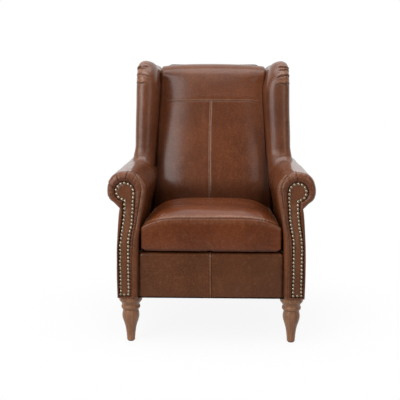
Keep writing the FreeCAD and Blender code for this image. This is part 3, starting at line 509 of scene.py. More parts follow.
# ---------------------------------------------------------------- finishes
class Graph:
    """Adds shader nodes to a tree and feeds their sockets."""

    def __init__(self, tree: bpy.types.NodeTree) -> None:
        self.tree = tree

    def node(self, kind: str, sockets: dict | None = None, **settings: object) -> bpy.types.Node:
        """Adds a node.

        Args:
            kind: The node's type.
            sockets: A value or another node's socket for each input, by name or number.
            settings: The node's own properties.

        Returns:
            The new node.
        """
        made = self.tree.nodes.new(kind)
        for key, value in settings.items():
            setattr(made, key, value)
        for key, value in (sockets or {}).items():
            if isinstance(value, Socket):
                self.tree.links.new(value, made.inputs[key])
            else:
                made.inputs[key].default_value = value
        return made

    def give(self, colour: Socket, roughness: Socket, height: Socket) -> bpy.types.NodeTree:
        """Feeds a group's outputs and gives back the group."""
        self.node("NodeGroupOutput", {"Colour": colour, "Roughness": roughness, "Height": height})
        return self.tree

    def math(self, operation: str, a: object, b: object = 0.0, c: object = 0.0) -> Socket:
        """One sum on one to three values."""
        return self.node("ShaderNodeMath", {0: a, 1: b, 2: c}, operation=operation).outputs[0]

    def times(self, a: object, b: object) -> Socket:
        """Multiplies two values."""
        return self.math("MULTIPLY", a, b)

    def plus(self, a: object, b: object) -> Socket:
        """Adds two values."""
        return self.math("ADD", a, b)

    def band(self, value: object, low: float, high: float, to_low: float = 0.0, to_high: float = 1.0) -> Socket:
        """Maps a value smoothly from one range to another, clamped."""
        sockets = {"Value": value, "From Min": low, "From Max": high, "To Min": to_low, "To Max": to_high}
        return self.node("ShaderNodeMapRange", sockets, interpolation_type="SMOOTHSTEP").outputs[0]

    def mix(self, factor: object, a: object, b: object, kind: str = "MIX") -> Socket:
        """Mixes two colours."""
        made = self.node("ShaderNodeMix", {0: factor, 6: a, 7: b}, data_type="RGBA", blend_type=kind)
        return made.outputs[2]

    def noise(self, where: object, scale: float, detail: float = 3.0, roughness: float = 0.5) -> Socket:
        """Soft noise, about 0.3 to 0.7."""
        sockets = {"Vector": where, "Scale": scale, "Detail": detail, "Roughness": roughness}
        return self.node("ShaderNodeTexNoise", sockets).outputs[0]

    def cells(self, where: object, scale: float, chance: float, feature: str = "DISTANCE_TO_EDGE") -> Socket:
        """A pattern of irregular cells, as a distance from their edges or their middles."""
        sockets = {"Vector": where, "Scale": scale, "Randomness": chance}
        return self.node("ShaderNodeTexVoronoi", sockets, feature=feature).outputs[0]

    def place(self, scale: tuple = (1.0, 1.0, 1.0)) -> Socket:
        """The point on the object, in metres, stretched along each axis."""
        coordinates = self.node("ShaderNodeTexCoord").outputs["Object"]
        return self.node("ShaderNodeMapping", {"Vector": coordinates, "Scale": scale}).outputs[0]


def empty_graph(owner: bpy.types.ID) -> Graph:
    """The emptied shader graph of a material or a world.

    Args:
        owner: The material or world.

    Returns:
        Its graph, without nodes.
    """
    owner.use_nodes = True
    owner.node_tree.nodes.clear()
    return Graph(owner.node_tree)


def shader_group(name: str, colours: str, values: str) -> tuple[Graph, dict]:
    """Starts a node group for a shared effect, which gives a colour, a roughness and a height.

    Args:
        name: The group's name.
        colours: The names of its colour inputs.
        values: The names of its other inputs.

    Returns:
        The group's graph, and its input sockets by name.
    """
    tree = bpy.data.node_groups.new(name, "ShaderNodeTree")
    names = {**dict.fromkeys(colours.split(), "Color"), **dict.fromkeys(values.split(), "Float")}
    for label, kind in names.items():
        tree.interface.new_socket(name=label, in_out="INPUT", socket_type=f"NodeSocket{kind}")
    for label, kind in (("Colour", "Color"), ("Roughness", "Float"), ("Height", "Float")):
        tree.interface.new_socket(name=label, in_out="OUTPUT", socket_type=f"NodeSocket{kind}")
    graph = Graph(tree)
    given = graph.node("NodeGroupInput")
    return graph, {label: given.outputs[label] for label in names}


def hide_group() -> bpy.types.NodeTree:
    """Waxed hide: mottled colour, pale rubbed wear and painted highlights, painted shade in creases and seams,
    pebbled grain and fine creases.

    Returns:
        The shared group.
    """
    graph, given = shader_group("waxed_hide", "Base Deep Rubbed", "Polish Grain Slack Wear Crease")
    place = graph.place()
    cloud = graph.noise(place, 7.0, 5.0, 0.6)
    fleck = graph.noise(place, 55.0, 4.0, 0.65)
    streak = graph.noise(graph.place((26.0, 26.0, 9.0)), 1.6, 4.0, 0.6)
    pebble = graph.cells(place, 620.0, 0.95, "F1")
    valley = graph.cells(place, 620.0, 0.95)
    line = graph.cells(graph.place((60.0, 60.0, 34.0)), 1.0, 1.0)
    creased = graph.band(line, 0.0, 0.09, 1.0, 0.0)
    creased = graph.times(creased, graph.band(cloud, 0.42, 0.62))
    furrow = graph.band(valley, 0.0, 0.18, 1.0, 0.0)

    tone = graph.mix(graph.band(cloud, 0.36, 0.62), given["Deep"], given["Base"])
    tone = graph.mix(graph.times(graph.band(fleck, 0.5, 0.72), 0.13), tone, given["Rubbed"])
    tone = graph.mix(graph.times(graph.band(streak, 0.52, 0.7), 0.18), tone, given["Deep"])
    tone = graph.mix(graph.times(furrow, 0.2), tone, given["Deep"])
    speck = graph.noise(place, 175.0, 3.0, 0.6)
    tone = graph.mix(1.0, tone, graph.band(speck, 0.36, 0.64, 1.15, 0.84), "MULTIPLY")
    # The wear mask mixes in the pale colour: rubbed wear in places, painted highlights in others.
    ragged = graph.times(given["Wear"], graph.band(fleck, 0.3, 0.6, 0.35, 1.0))
    tone = graph.mix(ragged, tone, given["Rubbed"])
    # Painted shade: the crease mask darkens the hide towards near-black.
    dark = graph.mix(0.75, given["Deep"], (0.006, 0.002, 0.001, 1.0))
    tone = graph.mix(graph.times(given["Crease"], 0.9), tone, dark)

    rough = graph.plus(given["Polish"], graph.band(fleck, 0.35, 0.65, -0.05, 0.07))
    rough = graph.plus(rough, graph.band(cloud, 0.35, 0.65, 0.05, -0.04))
    rough = graph.plus(rough, graph.times(given["Crease"], 0.2))
    rough = graph.plus(rough, graph.times(furrow, 0.12))

    grain = graph.times(pebble, -0.00014)
    grain = graph.plus(grain, graph.times(furrow, -0.00008))
    grain = graph.times(grain, given["Grain"])
    slack = graph.times(graph.noise(place, 34.0, 3.0, 0.55), 0.0010)
    slack = graph.plus(slack, graph.times(graph.noise(place, 110.0, 3.0, 0.6), 0.0005))
    slack = graph.plus(slack, graph.times(creased, -0.00035))
    slack = graph.times(slack, given["Slack"])
    return graph.give(tone, rough, graph.plus(grain, slack))


def timber_group() -> bpy.types.NodeTree:
    """Turned timber: long grain lines, rings, pores and a little mottling.

    Returns:
        The shared group.
    """
    graph, given = shader_group("timber", "Early Late", "Polish")
    along = graph.place((1.0, 1.0, 0.06))
    warp = graph.noise(graph.place((1.0, 1.0, 0.25)), 14.0, 3.0)
    rings = graph.math("SINE", graph.times(graph.plus(graph.noise(along, 55.0, 4.0, 0.6), warp), 30.0))
    pores = graph.band(graph.noise(graph.place((1.0, 1.0, 0.035)), 900.0, 2.0), 0.56, 0.7)
    ring_mask = graph.band(rings, -0.7, 0.9)
    tone = graph.mix(graph.times(ring_mask, 0.55), given["Early"], given["Late"])
    tone = graph.mix(graph.times(pores, 0.6), tone, given["Late"])
    cloud = graph.noise(graph.place(), 18.0, 3.0)
    tone = graph.mix(graph.band(cloud, 0.4, 0.7, 0.0, 0.35), tone, given["Late"])
    rough = graph.plus(given["Polish"], graph.times(pores, 0.18))
    height = graph.times(pores, -0.00012)
    height = graph.plus(height, graph.times(ring_mask, -0.00003))
    return graph.give(tone, rough, height)


def old_metal_group() -> bpy.types.NodeTree:
    """Aged metal: tarnish in patches, rubbed spots and small dents.

    Returns:
        The shared group.
    """
    graph, given = shader_group("old_metal", "Metal Tarnish", "Polish Age")
    place = graph.place()
    patch = graph.band(graph.noise(place, 260.0, 4.0, 0.65), 0.4, 0.62)
    spot = graph.band(graph.noise(place, 900.0, 2.0), 0.55, 0.7)
    aged = graph.times(patch, given["Age"])
    tone = graph.mix(aged, given["Metal"], given["Tarnish"])
    tone = graph.mix(graph.times(spot, 0.4), tone, given["Tarnish"])
    rough = graph.plus(given["Polish"], graph.times(aged, 0.3))
    height = graph.times(graph.noise(place, 700.0, 2.0), 0.00012)
    return graph.give(tone, rough, height)


def weave_group() -> bpy.types.NodeTree:
    """Plain woven cloth: crossing yarns, with slubs and uneven dye.

    Returns:
        The shared group.
    """
    graph, given = shader_group("plain_weave", "Warp Weft", "Yarns Bulk")
    place = graph.place()
    parts = graph.node("ShaderNodeSeparateXYZ", {0: place}).outputs
    yarns = graph.times(given["Yarns"], 6.2832)
    across = graph.math("SINE", graph.times(parts[0], yarns))
    along = graph.math("SINE", graph.times(graph.plus(parts[1], parts[2]), yarns))
    over = graph.band(graph.times(across, along), -0.25, 0.25)
    slub = graph.noise(graph.place((1.0, 0.1, 1.0)), 220.0, 3.0)
    tone = graph.mix(over, given["Warp"], given["Weft"])
    tone = graph.mix(graph.band(slub, 0.45, 0.7, 0.0, 0.5), tone, given["Warp"])
    rough = graph.band(slub, 0.3, 0.7, 0.75, 0.95)
    height = graph.times(over, given["Bulk"])
    return graph.give(tone, rough, height)


class Finish:
    """A procedural material, made once and shared.

    A finish's fields carry the names of its group's inputs. An input named after a Mask reads that mask.
    """

    name: str
    groups: dict = {}
    made: dict = {}

    def shared(self, maker: Callable) -> bpy.types.NodeTree:
        """The node group that a maker builds, built only the first time.

        Args:
            maker: The function that builds it.

        Returns:
            The shared group.
        """
        if maker.__name__ not in Finish.groups:
            Finish.groups[maker.__name__] = maker()
        return Finish.groups[maker.__name__]

    def surface(self, maker: Callable, **shader: object) -> bpy.types.Material:
        """Builds the material round a shared group.

        Args:
            maker: The function that builds the group.
            shader: Constants for the shader's sockets, with underscores for the spaces in their names.

        Returns:
            The material.
        """
        material = bpy.data.materials.new(self.name)
        graph = empty_graph(material)
        effect = graph.node("ShaderNodeGroup", node_tree=self.shared(maker))
        for entry in effect.inputs:
            key = entry.name.lower()
            if key in [mask.value for mask in Mask]:
                graph.tree.links.new(graph.node("ShaderNodeAttribute", attribute_name=key).outputs["Fac"], entry)
            else:
                entry.default_value = getattr(self, key)
        bump = graph.node("ShaderNodeBump", {"Height": effect.outputs["Height"], "Strength": 1.0, "Distance": 1.0})
        sockets = {key.replace("_", " "): value for key, value in shader.items()}
        sockets["Base Color"] = effect.outputs["Colour"]
        sockets["Roughness"] = effect.outputs["Roughness"]
        sockets["Normal"] = bump.outputs[0]
        principled = graph.node("ShaderNodeBsdfPrincipled", sockets)
        graph.node("ShaderNodeOutputMaterial", {"Surface": principled.outputs[0]})
        return material

    def material(self) -> bpy.types.Material:
        """The finish's material, made the first time it is asked for.

        Returns:
            The shared material.
        """
        if self.name not in Finish.made:
            Finish.made[self.name] = self.build()
        return Finish.made[self.name]

    def build(self) -> bpy.types.Material:
        """Builds the finish's material."""
        raise NotImplementedError

    def on(self, piece: Piece) -> None:
        """Gives a piece this finish.

        Args:
            piece: An object with a mesh.
        """
        if not piece.data.materials:
            piece.data.materials.append(self.material())
        for k in range(len(piece.data.materials)):
            piece.data.materials[k] = self.material()


@dataclass(frozen=True)
class Leather(Finish):
    """Waxed hide in one tone."""

    name: str = "leather"
    base: tuple = (0.165, 0.047, 0.0145, 1.0)
    deep: tuple = (0.124, 0.034, 0.0105, 1.0)
    # The pale colour of rubbed hide, also mixed in for painted highlights.
    rubbed: tuple = (0.34, 0.15, 0.075, 1.0)
    polish: float = 0.36
    wax: float = 0.80
    haze: float = 0.22
    gloss: float = 1.5
    grain: float = 1.0
    slack: float = 1.0

    def build(self) -> bpy.types.Material:
        """Builds the hide."""
        coat = {"Coat_Weight": self.wax, "Coat_Roughness": self.haze, "Coat_IOR": self.gloss}
        return self.surface(hide_group, Specular_IOR_Level=0.07, **coat)


@dataclass(frozen=True)
class Timber(Finish):
    """Stained wood."""

    name: str = "timber"
    early: tuple = (0.36, 0.17, 0.085, 1.0)
    late: tuple = (0.21, 0.085, 0.038, 1.0)
    polish: float = 0.42

    def build(self) -> bpy.types.Material:
        """Builds the wood."""
        return self.surface(timber_group, Coat_Weight=0.15, Coat_Roughness=0.35)


@dataclass(frozen=True)
class Metal(Finish):
    """Metal with some tarnish."""

    name: str = "metal"
    metal: tuple = (0.5, 0.42, 0.3, 1.0)
    tarnish: tuple = (0.07, 0.05, 0.035, 1.0)
    polish: float = 0.22
    age: float = 0.55

    def build(self) -> bpy.types.Material:
        """Builds the metal."""
        return self.surface(old_metal_group, Metallic=1.0)


@dataclass(frozen=True)
class Woven(Finish):
    """Woven or felted stuff."""

    name: str = "woven"
    warp: tuple = (0.03, 0.03, 0.03, 1.0)
    weft: tuple = (0.015, 0.015, 0.015, 1.0)
    yarns: float = 700.0
    bulk: float = 0.00025

    def build(self) -> bpy.types.Material:
        """Builds the cloth."""
        return self.surface(weave_group, Specular_IOR_Level=0.2)


HIDE = Leather()
SEAT_HIDE = Leather(
    "leather_seat", base=(0.182, 0.045, 0.0115, 1.0), deep=(0.134, 0.032, 0.0085, 1.0), polish=0.34
)
FACING_HIDE = Leather(
    "leather_facing", base=(0.182, 0.064, 0.027, 1.0), deep=(0.140, 0.047, 0.019, 1.0), polish=0.42, wax=0.7
)
# A darker, greyer copy of the hide: painted shade from the cushion above and a painted reflection of the pale floor.
SHADED_RAIL_HIDE = Leather(
    "leather_rail", base=(0.140, 0.045, 0.0155, 1.0), deep=(0.115, 0.036, 0.0122, 1.0), polish=0.45, wax=0.7,
    slack=0.5,
)
WING_HIDE = Leather(
    "leather_wing", base=(0.158, 0.045, 0.014, 1.0), deep=(0.118, 0.0325, 0.0102, 1.0), wax=1.0, haze=0.31, gloss=1.56
)
THREAD = Woven("thread", (0.42, 0.24, 0.13, 1.0), (0.3, 0.16, 0.08, 1.0), 1400.0, 0.0001)
NAIL_BRASS = Metal("nail_brass", (0.66, 0.56, 0.40, 1.0), (0.11, 0.085, 0.055, 1.0), 0.15, 0.45)
SLOT_FINISHES: dict[str, Finish] = {
    "leather": HIDE,
    "leg_wood": Timber("leg_wood"),
    "nail": NAIL_BRASS,
    "frame_wood": Timber("frame_wood", (0.55, 0.38, 0.22, 1.0), (0.4, 0.25, 0.13, 1.0), 0.6),
    "plywood": Timber("plywood", (0.6, 0.45, 0.28, 1.0), (0.45, 0.3, 0.17, 1.0), 0.65),
    "foam": Woven("foam", (0.75, 0.68, 0.45, 1.0), (0.65, 0.57, 0.36, 1.0), 900.0, 0.0004),
    "liner_board": Woven("liner_board", (0.08, 0.05, 0.03, 1.0), (0.06, 0.037, 0.022, 1.0), 1200.0, 0.0001),
    "cloth": Woven("dust_cloth", (0.02, 0.02, 0.022, 1.0), (0.01, 0.01, 0.011, 1.0), 800.0, 0.0002),
    "webbing": Woven("webbing", (0.4, 0.32, 0.2, 1.0), (0.12, 0.1, 0.07, 1.0), 300.0, 0.0006),
    "steel": Metal("steel", (0.56, 0.56, 0.57, 1.0), (0.16, 0.15, 0.14, 1.0), 0.32, 0.3),
    "nylon": Woven("nylon", (0.03, 0.03, 0.03, 1.0), (0.022, 0.022, 0.022, 1.0), 2500.0, 0.00002),
    "zip_tape": Woven("zip_tape", (0.05, 0.025, 0.015, 1.0), (0.03, 0.015, 0.01, 1.0), 1100.0, 0.0002),
    "zip_metal": Metal("zip_metal", (0.45, 0.38, 0.26, 1.0), (0.1, 0.08, 0.05, 1.0), 0.28, 0.4),
}


# ---------------------------------------------------------------- the chair's lines
@dataclass(frozen=True)
class Lines:
    """Lines that several pieces follow, on the right-hand side, in metres."""

    underside: float = 0.1812
    arm_top: float = 0.6645
    board_front: float = -0.408
    facing_front: float = -0.416
    scroll: tuple = (0.3165, 0.591)
    scroll_radius: float = 0.0735
    rear: float = 0.420
    back_top: float = 1.078
    rear_slope: float = math.tan(math.radians(10.0))
    lean: float = math.radians(3.2)
    wing_outer: float = 0.345
    wing_inner: float = 0.250

    def rear_y(self, z: Array) -> Array:
        """Y of the outside back's surface at a height."""
        return self.rear - (self.back_top - np.asarray(z, dtype=float)) * self.rear_slope

    def leaned(self, points: Array) -> Array:
        """Leans upright wing points inwards, about the arm's outer top edge.

        Args:
            points: The points, one a row or in a grid.

        Returns:
            The leaned points.
        """
        x = points[..., 0] - self.wing_outer
        z = points[..., 2] - self.arm_top
        made = points.copy()
        made[..., 0] = self.wing_outer + x * math.cos(self.lean) - z * math.sin(self.lean)
        made[..., 2] = self.arm_top + x * math.sin(self.lean) + z * math.cos(self.lean)
        return made

    def wing_inner_x(self, z: Array) -> Array:
        """X of the wing's inner face at a height."""
        reach = (self.wing_outer - self.wing_inner) / math.cos(self.lean)
        return self.wing_outer - reach - (np.asarray(z, dtype=float) - self.arm_top) * math.tan(self.lean)

    def arm_top_z(self, x: Array) -> Array:
        """Height of the scroll's upper half above an X."""
        across = np.clip(np.asarray(x, dtype=float) - self.scroll[0], -self.scroll_radius, self.scroll_radius)
        return self.scroll[1] + np.sqrt(np.maximum(self.scroll_radius**2 - across**2, 0.0))

    def outer_side(self) -> Array:
        """The side panel's section, from the bottom up to the notch under the scroll.

        Returns:
            Points in X and Z.
        """
        points = [
            (0.3550, 0.1812), (0.3568, 0.2510), (0.3568, 0.3050), (0.3556, 0.3670),
            (0.3520, 0.4410), (0.3478, 0.5010), (0.3435, 0.5290),
        ]
        return spline(points, 200)

    def under_scroll(self) -> Array:
        """From the notch out to the round part of the scroll."""
        return spline([(0.3435, 0.5290), (0.3530, 0.5352), (0.3680, 0.5480), (0.3790, 0.5570), (0.3856, 0.5659)], 60)

    def over_scroll(self) -> Array:
        """Round the scroll, over its top, to the inner face."""
        return arc(self.scroll, self.scroll_radius, -20.0, 192.0, 300)

    def inner_side(self) -> Array:
        """Down the arm's inner face to the bottom.

        Returns:
            Points in X and Z.
        """
        points = [
            (0.2446, 0.5757), (0.2502, 0.5470), (0.2568, 0.5175), (0.2628, 0.4890),
            (0.2672, 0.4616), (0.2722, 0.4058), (0.2752, 0.3000), (0.2770, 0.1812),
        ]
        return spline(points, 300)


LINES = Lines()


@dataclass(frozen=True)
class NailLine:
    """The keyhole line that the nails follow round an arm's facing."""

    outer_low: float = 0.3430
    inner_low: float = 0.3125
    radius: float = 0.0315
    centre: tuple = (0.3235, 0.5900)
    bottom: float = 0.1932
    pitch: float = 0.0145

    def parts(self, spread: float) -> dict[str, Array]:
        """The line's four runs, moved outwards by a spread.

        Args:
            spread: How far out the line moves.

        Returns:
            The outer side, the neck, the head and the inner side, in order round the line.
        """
        radius = self.radius + spread
        neck = self.outer_low - 0.019 + spread
        throat = self.inner_low - 0.0205 - spread
        across = neck - self.centre[0]
        reach = math.sqrt(radius**2 - across**2)
        outer = spline(
            [
                (self.outer_low + spread, 0.382),
                (self.outer_low + spread - 0.006, 0.427),
                (self.outer_low + spread - 0.0145, 0.478),
                (neck, 0.519),
            ],
            160,
        )
        inner = spline(
            [
                (self.centre[0] - radius, self.centre[1]),
                (throat, 0.569),
                (throat + 0.003, 0.516),
                (throat + 0.0075, 0.466),
                (self.inner_low - spread - 0.0025, 0.412),
                (self.inner_low - spread, 0.366),
            ],
            260,
        )
        foot = self.bottom - spread
        start = math.degrees(math.atan2(-reach, across))
        head = arc(self.centre, radius, -20.0, 180.0, 200)
        split = int(np.argmin(np.abs(inner[:, 1] - 0.577)))
        return {
            "outer": np.vstack([[(outer[0, 0], foot)], outer]),
            "neck": np.vstack([outer[-1:], arc(self.centre, radius, start, -20.0, 60)]),
            "head": np.vstack([head, inner[1 : split + 1]]),
            "inner": np.vstack([inner[split:], [(inner[-1, 0], foot)]]),
        }

    def nails(self) -> Array:
        """Nail centres, evenly spaced round the line and along its bottom."""
        line = np.vstack([*self.parts(0.0).values(), [(self.outer_low, self.bottom)]])
        return resample(line, int(round(run_length(line)[-1] / self.pitch)) + 1)[:-1]


NAIL_LINE = NailLine()


def grid_normals(points: Array, inside: tuple, ring: bool = False) -> Array:
    """Outward normals of a grid of points.

    Args:
        points: The grid, rows by columns by three.
        inside: A point on the hidden side.
        ring: Whether the last column joins the first.

    Returns:
        A normal for each point.
    """
    down = np.gradient(points, axis=0)
    if ring:
        across = np.roll(points, -1, axis=1) - np.roll(points, 1, axis=1)
    else:
        across = np.gradient(points, axis=1)
    normal = np.cross(down, across)
    normal /= np.linalg.norm(normal, axis=2, keepdims=True) + 1e-12
    if np.sum(normal * (points - np.asarray(inside))) < 0:
        normal = -normal
    return normal


def on_side(points: Array, side: Side) -> Array:
    """Mirrors right-hand points where the side is the left.

    Args:
        points: The points, one a row or in a grid.
        side: The side they are wanted on.

    Returns:
        The points on that side.
    """
    made = points.copy()
    made[..., 0] *= side.value
    return made


def settle(
    piece: Piece, finish: Finish, body: str, nodes: tuple = ()
) -> None:
    """Finishes a piece and ties it to the frame.

    Args:
        piece: The new piece.
        finish: Its finish.
        body: The CAD body it rides on.
        nodes: The CAD nodes it stands for.
    """
    finish.on(piece)
    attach(piece, body)
    if nodes:
        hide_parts(*nodes)
    LOG.info("%s on %s, %d vertices, in for %d nodes", piece.name, body, len(piece.data.vertices), len(nodes))


# ---------------------------------------------------------------- arms
@dataclass
class Arm:
    """A scrolled arm: padded cover with its gathered front border, facing, nails and outside panel."""

    side: Side
    pleats: tuple
    seed: float
    border_front: float = -0.4200
    groove: float = -0.4125
    hem_front: float = -0.4095
    edge_round: float = 0.017
    counts: tuple = (80, 26, 230, 220, 12)
    rows_back: int = 58
    rim_spread: float = 0.0065
    facing_spread: float = 0.0062
    facing_step: float = 0.0032
    slide_under: float = 0.010
    tuck: float = 0.005
    pleat_depth: float = 0.0030
    pleat_width: float = 0.0013
    seam_depth: float = 0.0019
    pucker: float = 0.0016
    slack: float = 0.0016

    def rings(self) -> tuple[Array, Array, Array]:
        """The cover's outer section, the facing's edge matched to it, and the section behind the panel.

        Returns:
            Three closed lines in X and Z with as many points each.
        """
        foot_outer = LINES.outer_side()[:1]
        foot_inner = LINES.inner_side()[-1:]
        edge = NAIL_LINE.parts(self.rim_spread)
        runs = [
            (LINES.outer_side(), edge["outer"]),
            (LINES.under_scroll(), edge["neck"]),
            (LINES.over_scroll(), edge["head"]),
            (LINES.inner_side(), edge["inner"]),
            (np.vstack([foot_inner, foot_outer]), np.vstack([edge["inner"][-1:], edge["outer"][:1]])),
        ]
        outer, facing = [], []
        for (section, rim), count in zip(runs, self.counts):
            outer.append(resample(section, count + 1)[:-1])
            facing.append(resample(rim, count + 1)[:-1])
        outer = np.vstack(outer)
        spoke = outer - np.array(LINES.scroll)
        angle = np.degrees(np.arctan2(spoke[:, 1], spoke[:, 0]))
        full = 0.0050 * hump(angle, 48.0, 20.0)
        outer = outer + spoke / np.linalg.norm(spoke, axis=1)[:, None] * full[:, None]
        behind = outer.copy()
        tucked = np.arange(len(outer)) < self.counts[0] + 2
        behind[tucked, 0] -= self.slide_under
        return outer, np.vstack(facing), behind

    def seam_share(self, outer: Array) -> Array:
        """Where the border's seam runs, as a share of its width from the facing, or below 0 for none.

        Args:
            outer: The cover's outer section.

        Returns:
            A share for each of its points.
        """
        angle = np.degrees(np.arctan2(outer[:, 1] - LINES.scroll[1], outer[:, 0] - LINES.scroll[0]))
        start = sum(self.counts[:2])
        head = start + self.counts[2]
        share = np.full(len(outer), -1.0)
        on_head = slice(start, head)
        angle_head = np.where(angle[on_head] < -90.0, angle[on_head] + 360.0, angle[on_head])
        share[on_head] = np.interp(angle_head, [100.0, 112.0, 135.0, 165.0, 190.0], [1.1, 0.94, 0.74, 0.6, 0.52])
        down = slice(head, head + self.counts[3])
        share[down] = np.interp(
            -outer[down, 1], [-0.576, -0.52, -0.46, -0.40, -0.33, -0.18], [0.52, 0.5, 0.42, 0.32, 0.24, 0.2]
        )
        return share

    def cover(self) -> None:
        """The padded cover, from the facing's groove round the border and back to the outside back."""
        outer, rim, behind = self.rings()
        width = np.linalg.norm(outer - rim, axis=1)
        outward = (outer - rim) / width[:, None]
        inner_reach = np.minimum(0.009, 0.34 * width)
        outer_reach = np.minimum(self.edge_round, 0.55 * width)
        border = [(np.full(len(rim), -0.0025), self.hem_front)]
        for a in np.radians(np.linspace(0.0, 90.0, 8)):
            y = self.groove + (self.border_front - self.groove) * math.sin(a)
            border.append((inner_reach * (1 - math.cos(a)), y))
        for t in np.linspace(0.0, 1.0, 16)[1:]:
            y = self.border_front - 0.0012 * math.sin(math.pi * t)
            border.append((inner_reach + (width - inner_reach - outer_reach) * t, y))
        for a in np.radians(np.linspace(0.0, 90.0, 12)[1:]):
            y = self.border_front + outer_reach * (1 - math.cos(a))
            border.append((width - outer_reach * (1 - math.sin(a)), y))
        rows, shares = [], []
        for reach, y in border:
            rows.append(np.column_stack([rim + outward * reach[:, None], np.broadcast_to(y, len(rim))]))
            shares.append(np.maximum(reach, 0.0) / width)
        front = rows[-1][:, 2]
        end = LINES.rear_y(outer[:, 1]) - 0.007
        steps = np.concatenate([np.linspace(0.0, 0.13, 26)[1:], np.linspace(0.13, 1.0, self.rows_back - 24)[1:]])
        for t in steps:
            y = front + (end - front) * t
            blend = ramp(LINES.board_front - 0.001, LINES.board_front + 0.006, y)[:, None]
            rows.append(np.column_stack([outer * (1 - blend) + behind * blend, y]))
            shares.append(np.ones(len(rim)))
        grid = np.stack(rows)
        points = np.stack([grid[..., 0], grid[..., 2], grid[..., 1]], axis=-1)
        share = np.stack(shares)
        middle = np.array([0.31, -0.1, 0.5])
        normal = grid_normals(points, middle, ring=True)
        points, wear, crease = self.dress(points, normal, share, width, outer)
        points, centre = on_side(points, self.side), on_side(middle, self.side)
        word, masks = self.side.word, {Mask.WEAR: wear, Mask.CREASE: crease}
        piece = sheet_piece(f"arm_padding_{word}", points, centre, masks, ring=True, caps=True)
        nodes = (f"arm_cover_{word}", f"arm_foam_{word}", f"arm_edge_roll_{word}")
        settle(piece, HIDE, "chair", nodes)

    def dress(
        self, points: Array, normal: Array, share: Array, width: Array, outer: Array
    ) -> tuple[Array, Array, Array]:
        """Adds the pleats, the puckered seam and the slack of the hide.

        Args:
            points: The cover's grid.
            normal: Its outward normals.
            share: Each point's share of the border's width, 1 past its edge.
            width: The border's width at each column.
            outer: The outer section.

        Returns:
            The dressed grid, its wear and its painted crease shade.
        """
        y = points[..., 1]
        z = points[..., 2]
        angle = np.degrees(np.arctan2(outer[:, 1] - LINES.scroll[1], outer[:, 0] - LINES.scroll[0]))
        angle = np.where(angle < -90.0, angle + 360.0, angle)[None, :]
        start = sum(self.counts[:2])
        on_head = np.zeros(len(outer), dtype=bool)
        on_head[start : start + self.counts[2] + 20] = True
        past = np.maximum(0.0, y - (self.border_front + self.edge_round))
        fade = np.exp(-past / 0.022) * ramp(0.06, 0.3, share)
        amount = np.zeros_like(y)
        crease = np.zeros_like(y)
        for at, depth in self.pleats:
            swerve = at + 5.0 * (share - 0.6) * (1 if depth > 0.6 else -1)
            off = np.radians(angle - swerve) * LINES.scroll_radius * (0.55 + 0.45 * share)
            amount -= self.pleat_depth * depth * hump(off, 0.0, self.pleat_width) * fade * on_head
            amount += 0.0013 * depth * hump(off, 0.0075, 0.005) * fade * on_head
            # Painted shade along each pleat's fold.
            crease += 0.85 * depth * hump(off, 0.0, 0.0011) * fade * on_head
        bent = np.radians(angle) * LINES.scroll_radius
        shirr = wave(bent, 0.0068, 4.0 * share) * wave(bent, 0.0097, -7.0 * share)
        amount += 0.0006 * shirr * fade * on_head * ramp(40.0, 80.0, angle) * ramp(185.0, 130.0, angle)
        seam = self.seam_share(outer)[None, :]
        away = (share - seam) * width[None, :]
        beyond = np.where(share >= 1.0, past + (1.0 - seam) * width[None, :], away)
        has_seam = (seam > 0.0) & (seam < 1.08)
        strip = np.where(share < seam, share / np.maximum(seam, 0.05), (share - seam) / np.maximum(1.0 - seam, 0.05))
        whole = np.where(has_seam, np.clip(strip, 0.0, 1.0), share)
        amount += np.where(has_seam, 0.0022, 0.0028) * np.sin(math.pi * whole) * (share < 0.999)
        amount -= self.seam_depth * hump(beyond, 0.0, 0.0012) * has_seam
        # Painted shade in the border's seam.
        crease += 0.8 * hump(beyond, 0.0, 0.0009) * has_seam
        run = run_length(outer)[None, :]
        wobble = gathers(run, 0.0078, 1.6, 41.0, self.seed) * (0.6 + 0.4 * np.sin(run * 67.0))
        high = ramp(0.42, 0.55, z)
        puckered = np.exp(-np.abs(beyond) / 0.0065) * has_seam * (0.45 + 0.55 * high)
        amount += self.pucker * wobble * puckered
        rim_fold = np.exp(-(share * width[None, :]) / 0.006) * wave(run, 0.0145, self.seed)
        amount += 0.0006 * rim_fold
        # Painted shade where the border meets the facing.
        crease += 0.75 * np.exp(-(share * width[None, :]) / 0.0022)
        free = ramp(-0.40, -0.36, y)
        amount += self.slack * ripple(points, 9.0, self.seed) * free
        amount += 0.0009 * ripple(points * np.array([1.0, 0.6, 1.0]), 32.0, self.seed + 2.0) * (0.35 + 0.65 * free)
        toe = hump(y, -0.035, 0.03) * ramp(0.60, 0.65, z)
        amount += 0.0008 * wave(points[..., 0], 0.021, 2.0 * y / 0.03) * toe
        wear = 0.3 * hump(share, 0.72, 0.16) * (share < 0.999) * (0.5 + 0.5 * high)
        wear += 0.5 * hump(beyond, 0.003, 0.0025) * has_seam * (0.5 + 0.5 * wobble)
        wear += 0.3 * ramp(0.655, 0.668, z) * free
        # Painted shade across the arm's top under the wing's swept foot.
        crease += 0.35 * hump(y, 0.0, 0.012) * ramp(0.62, 0.65, z)
        return points + normal * amount[..., None], wear, crease

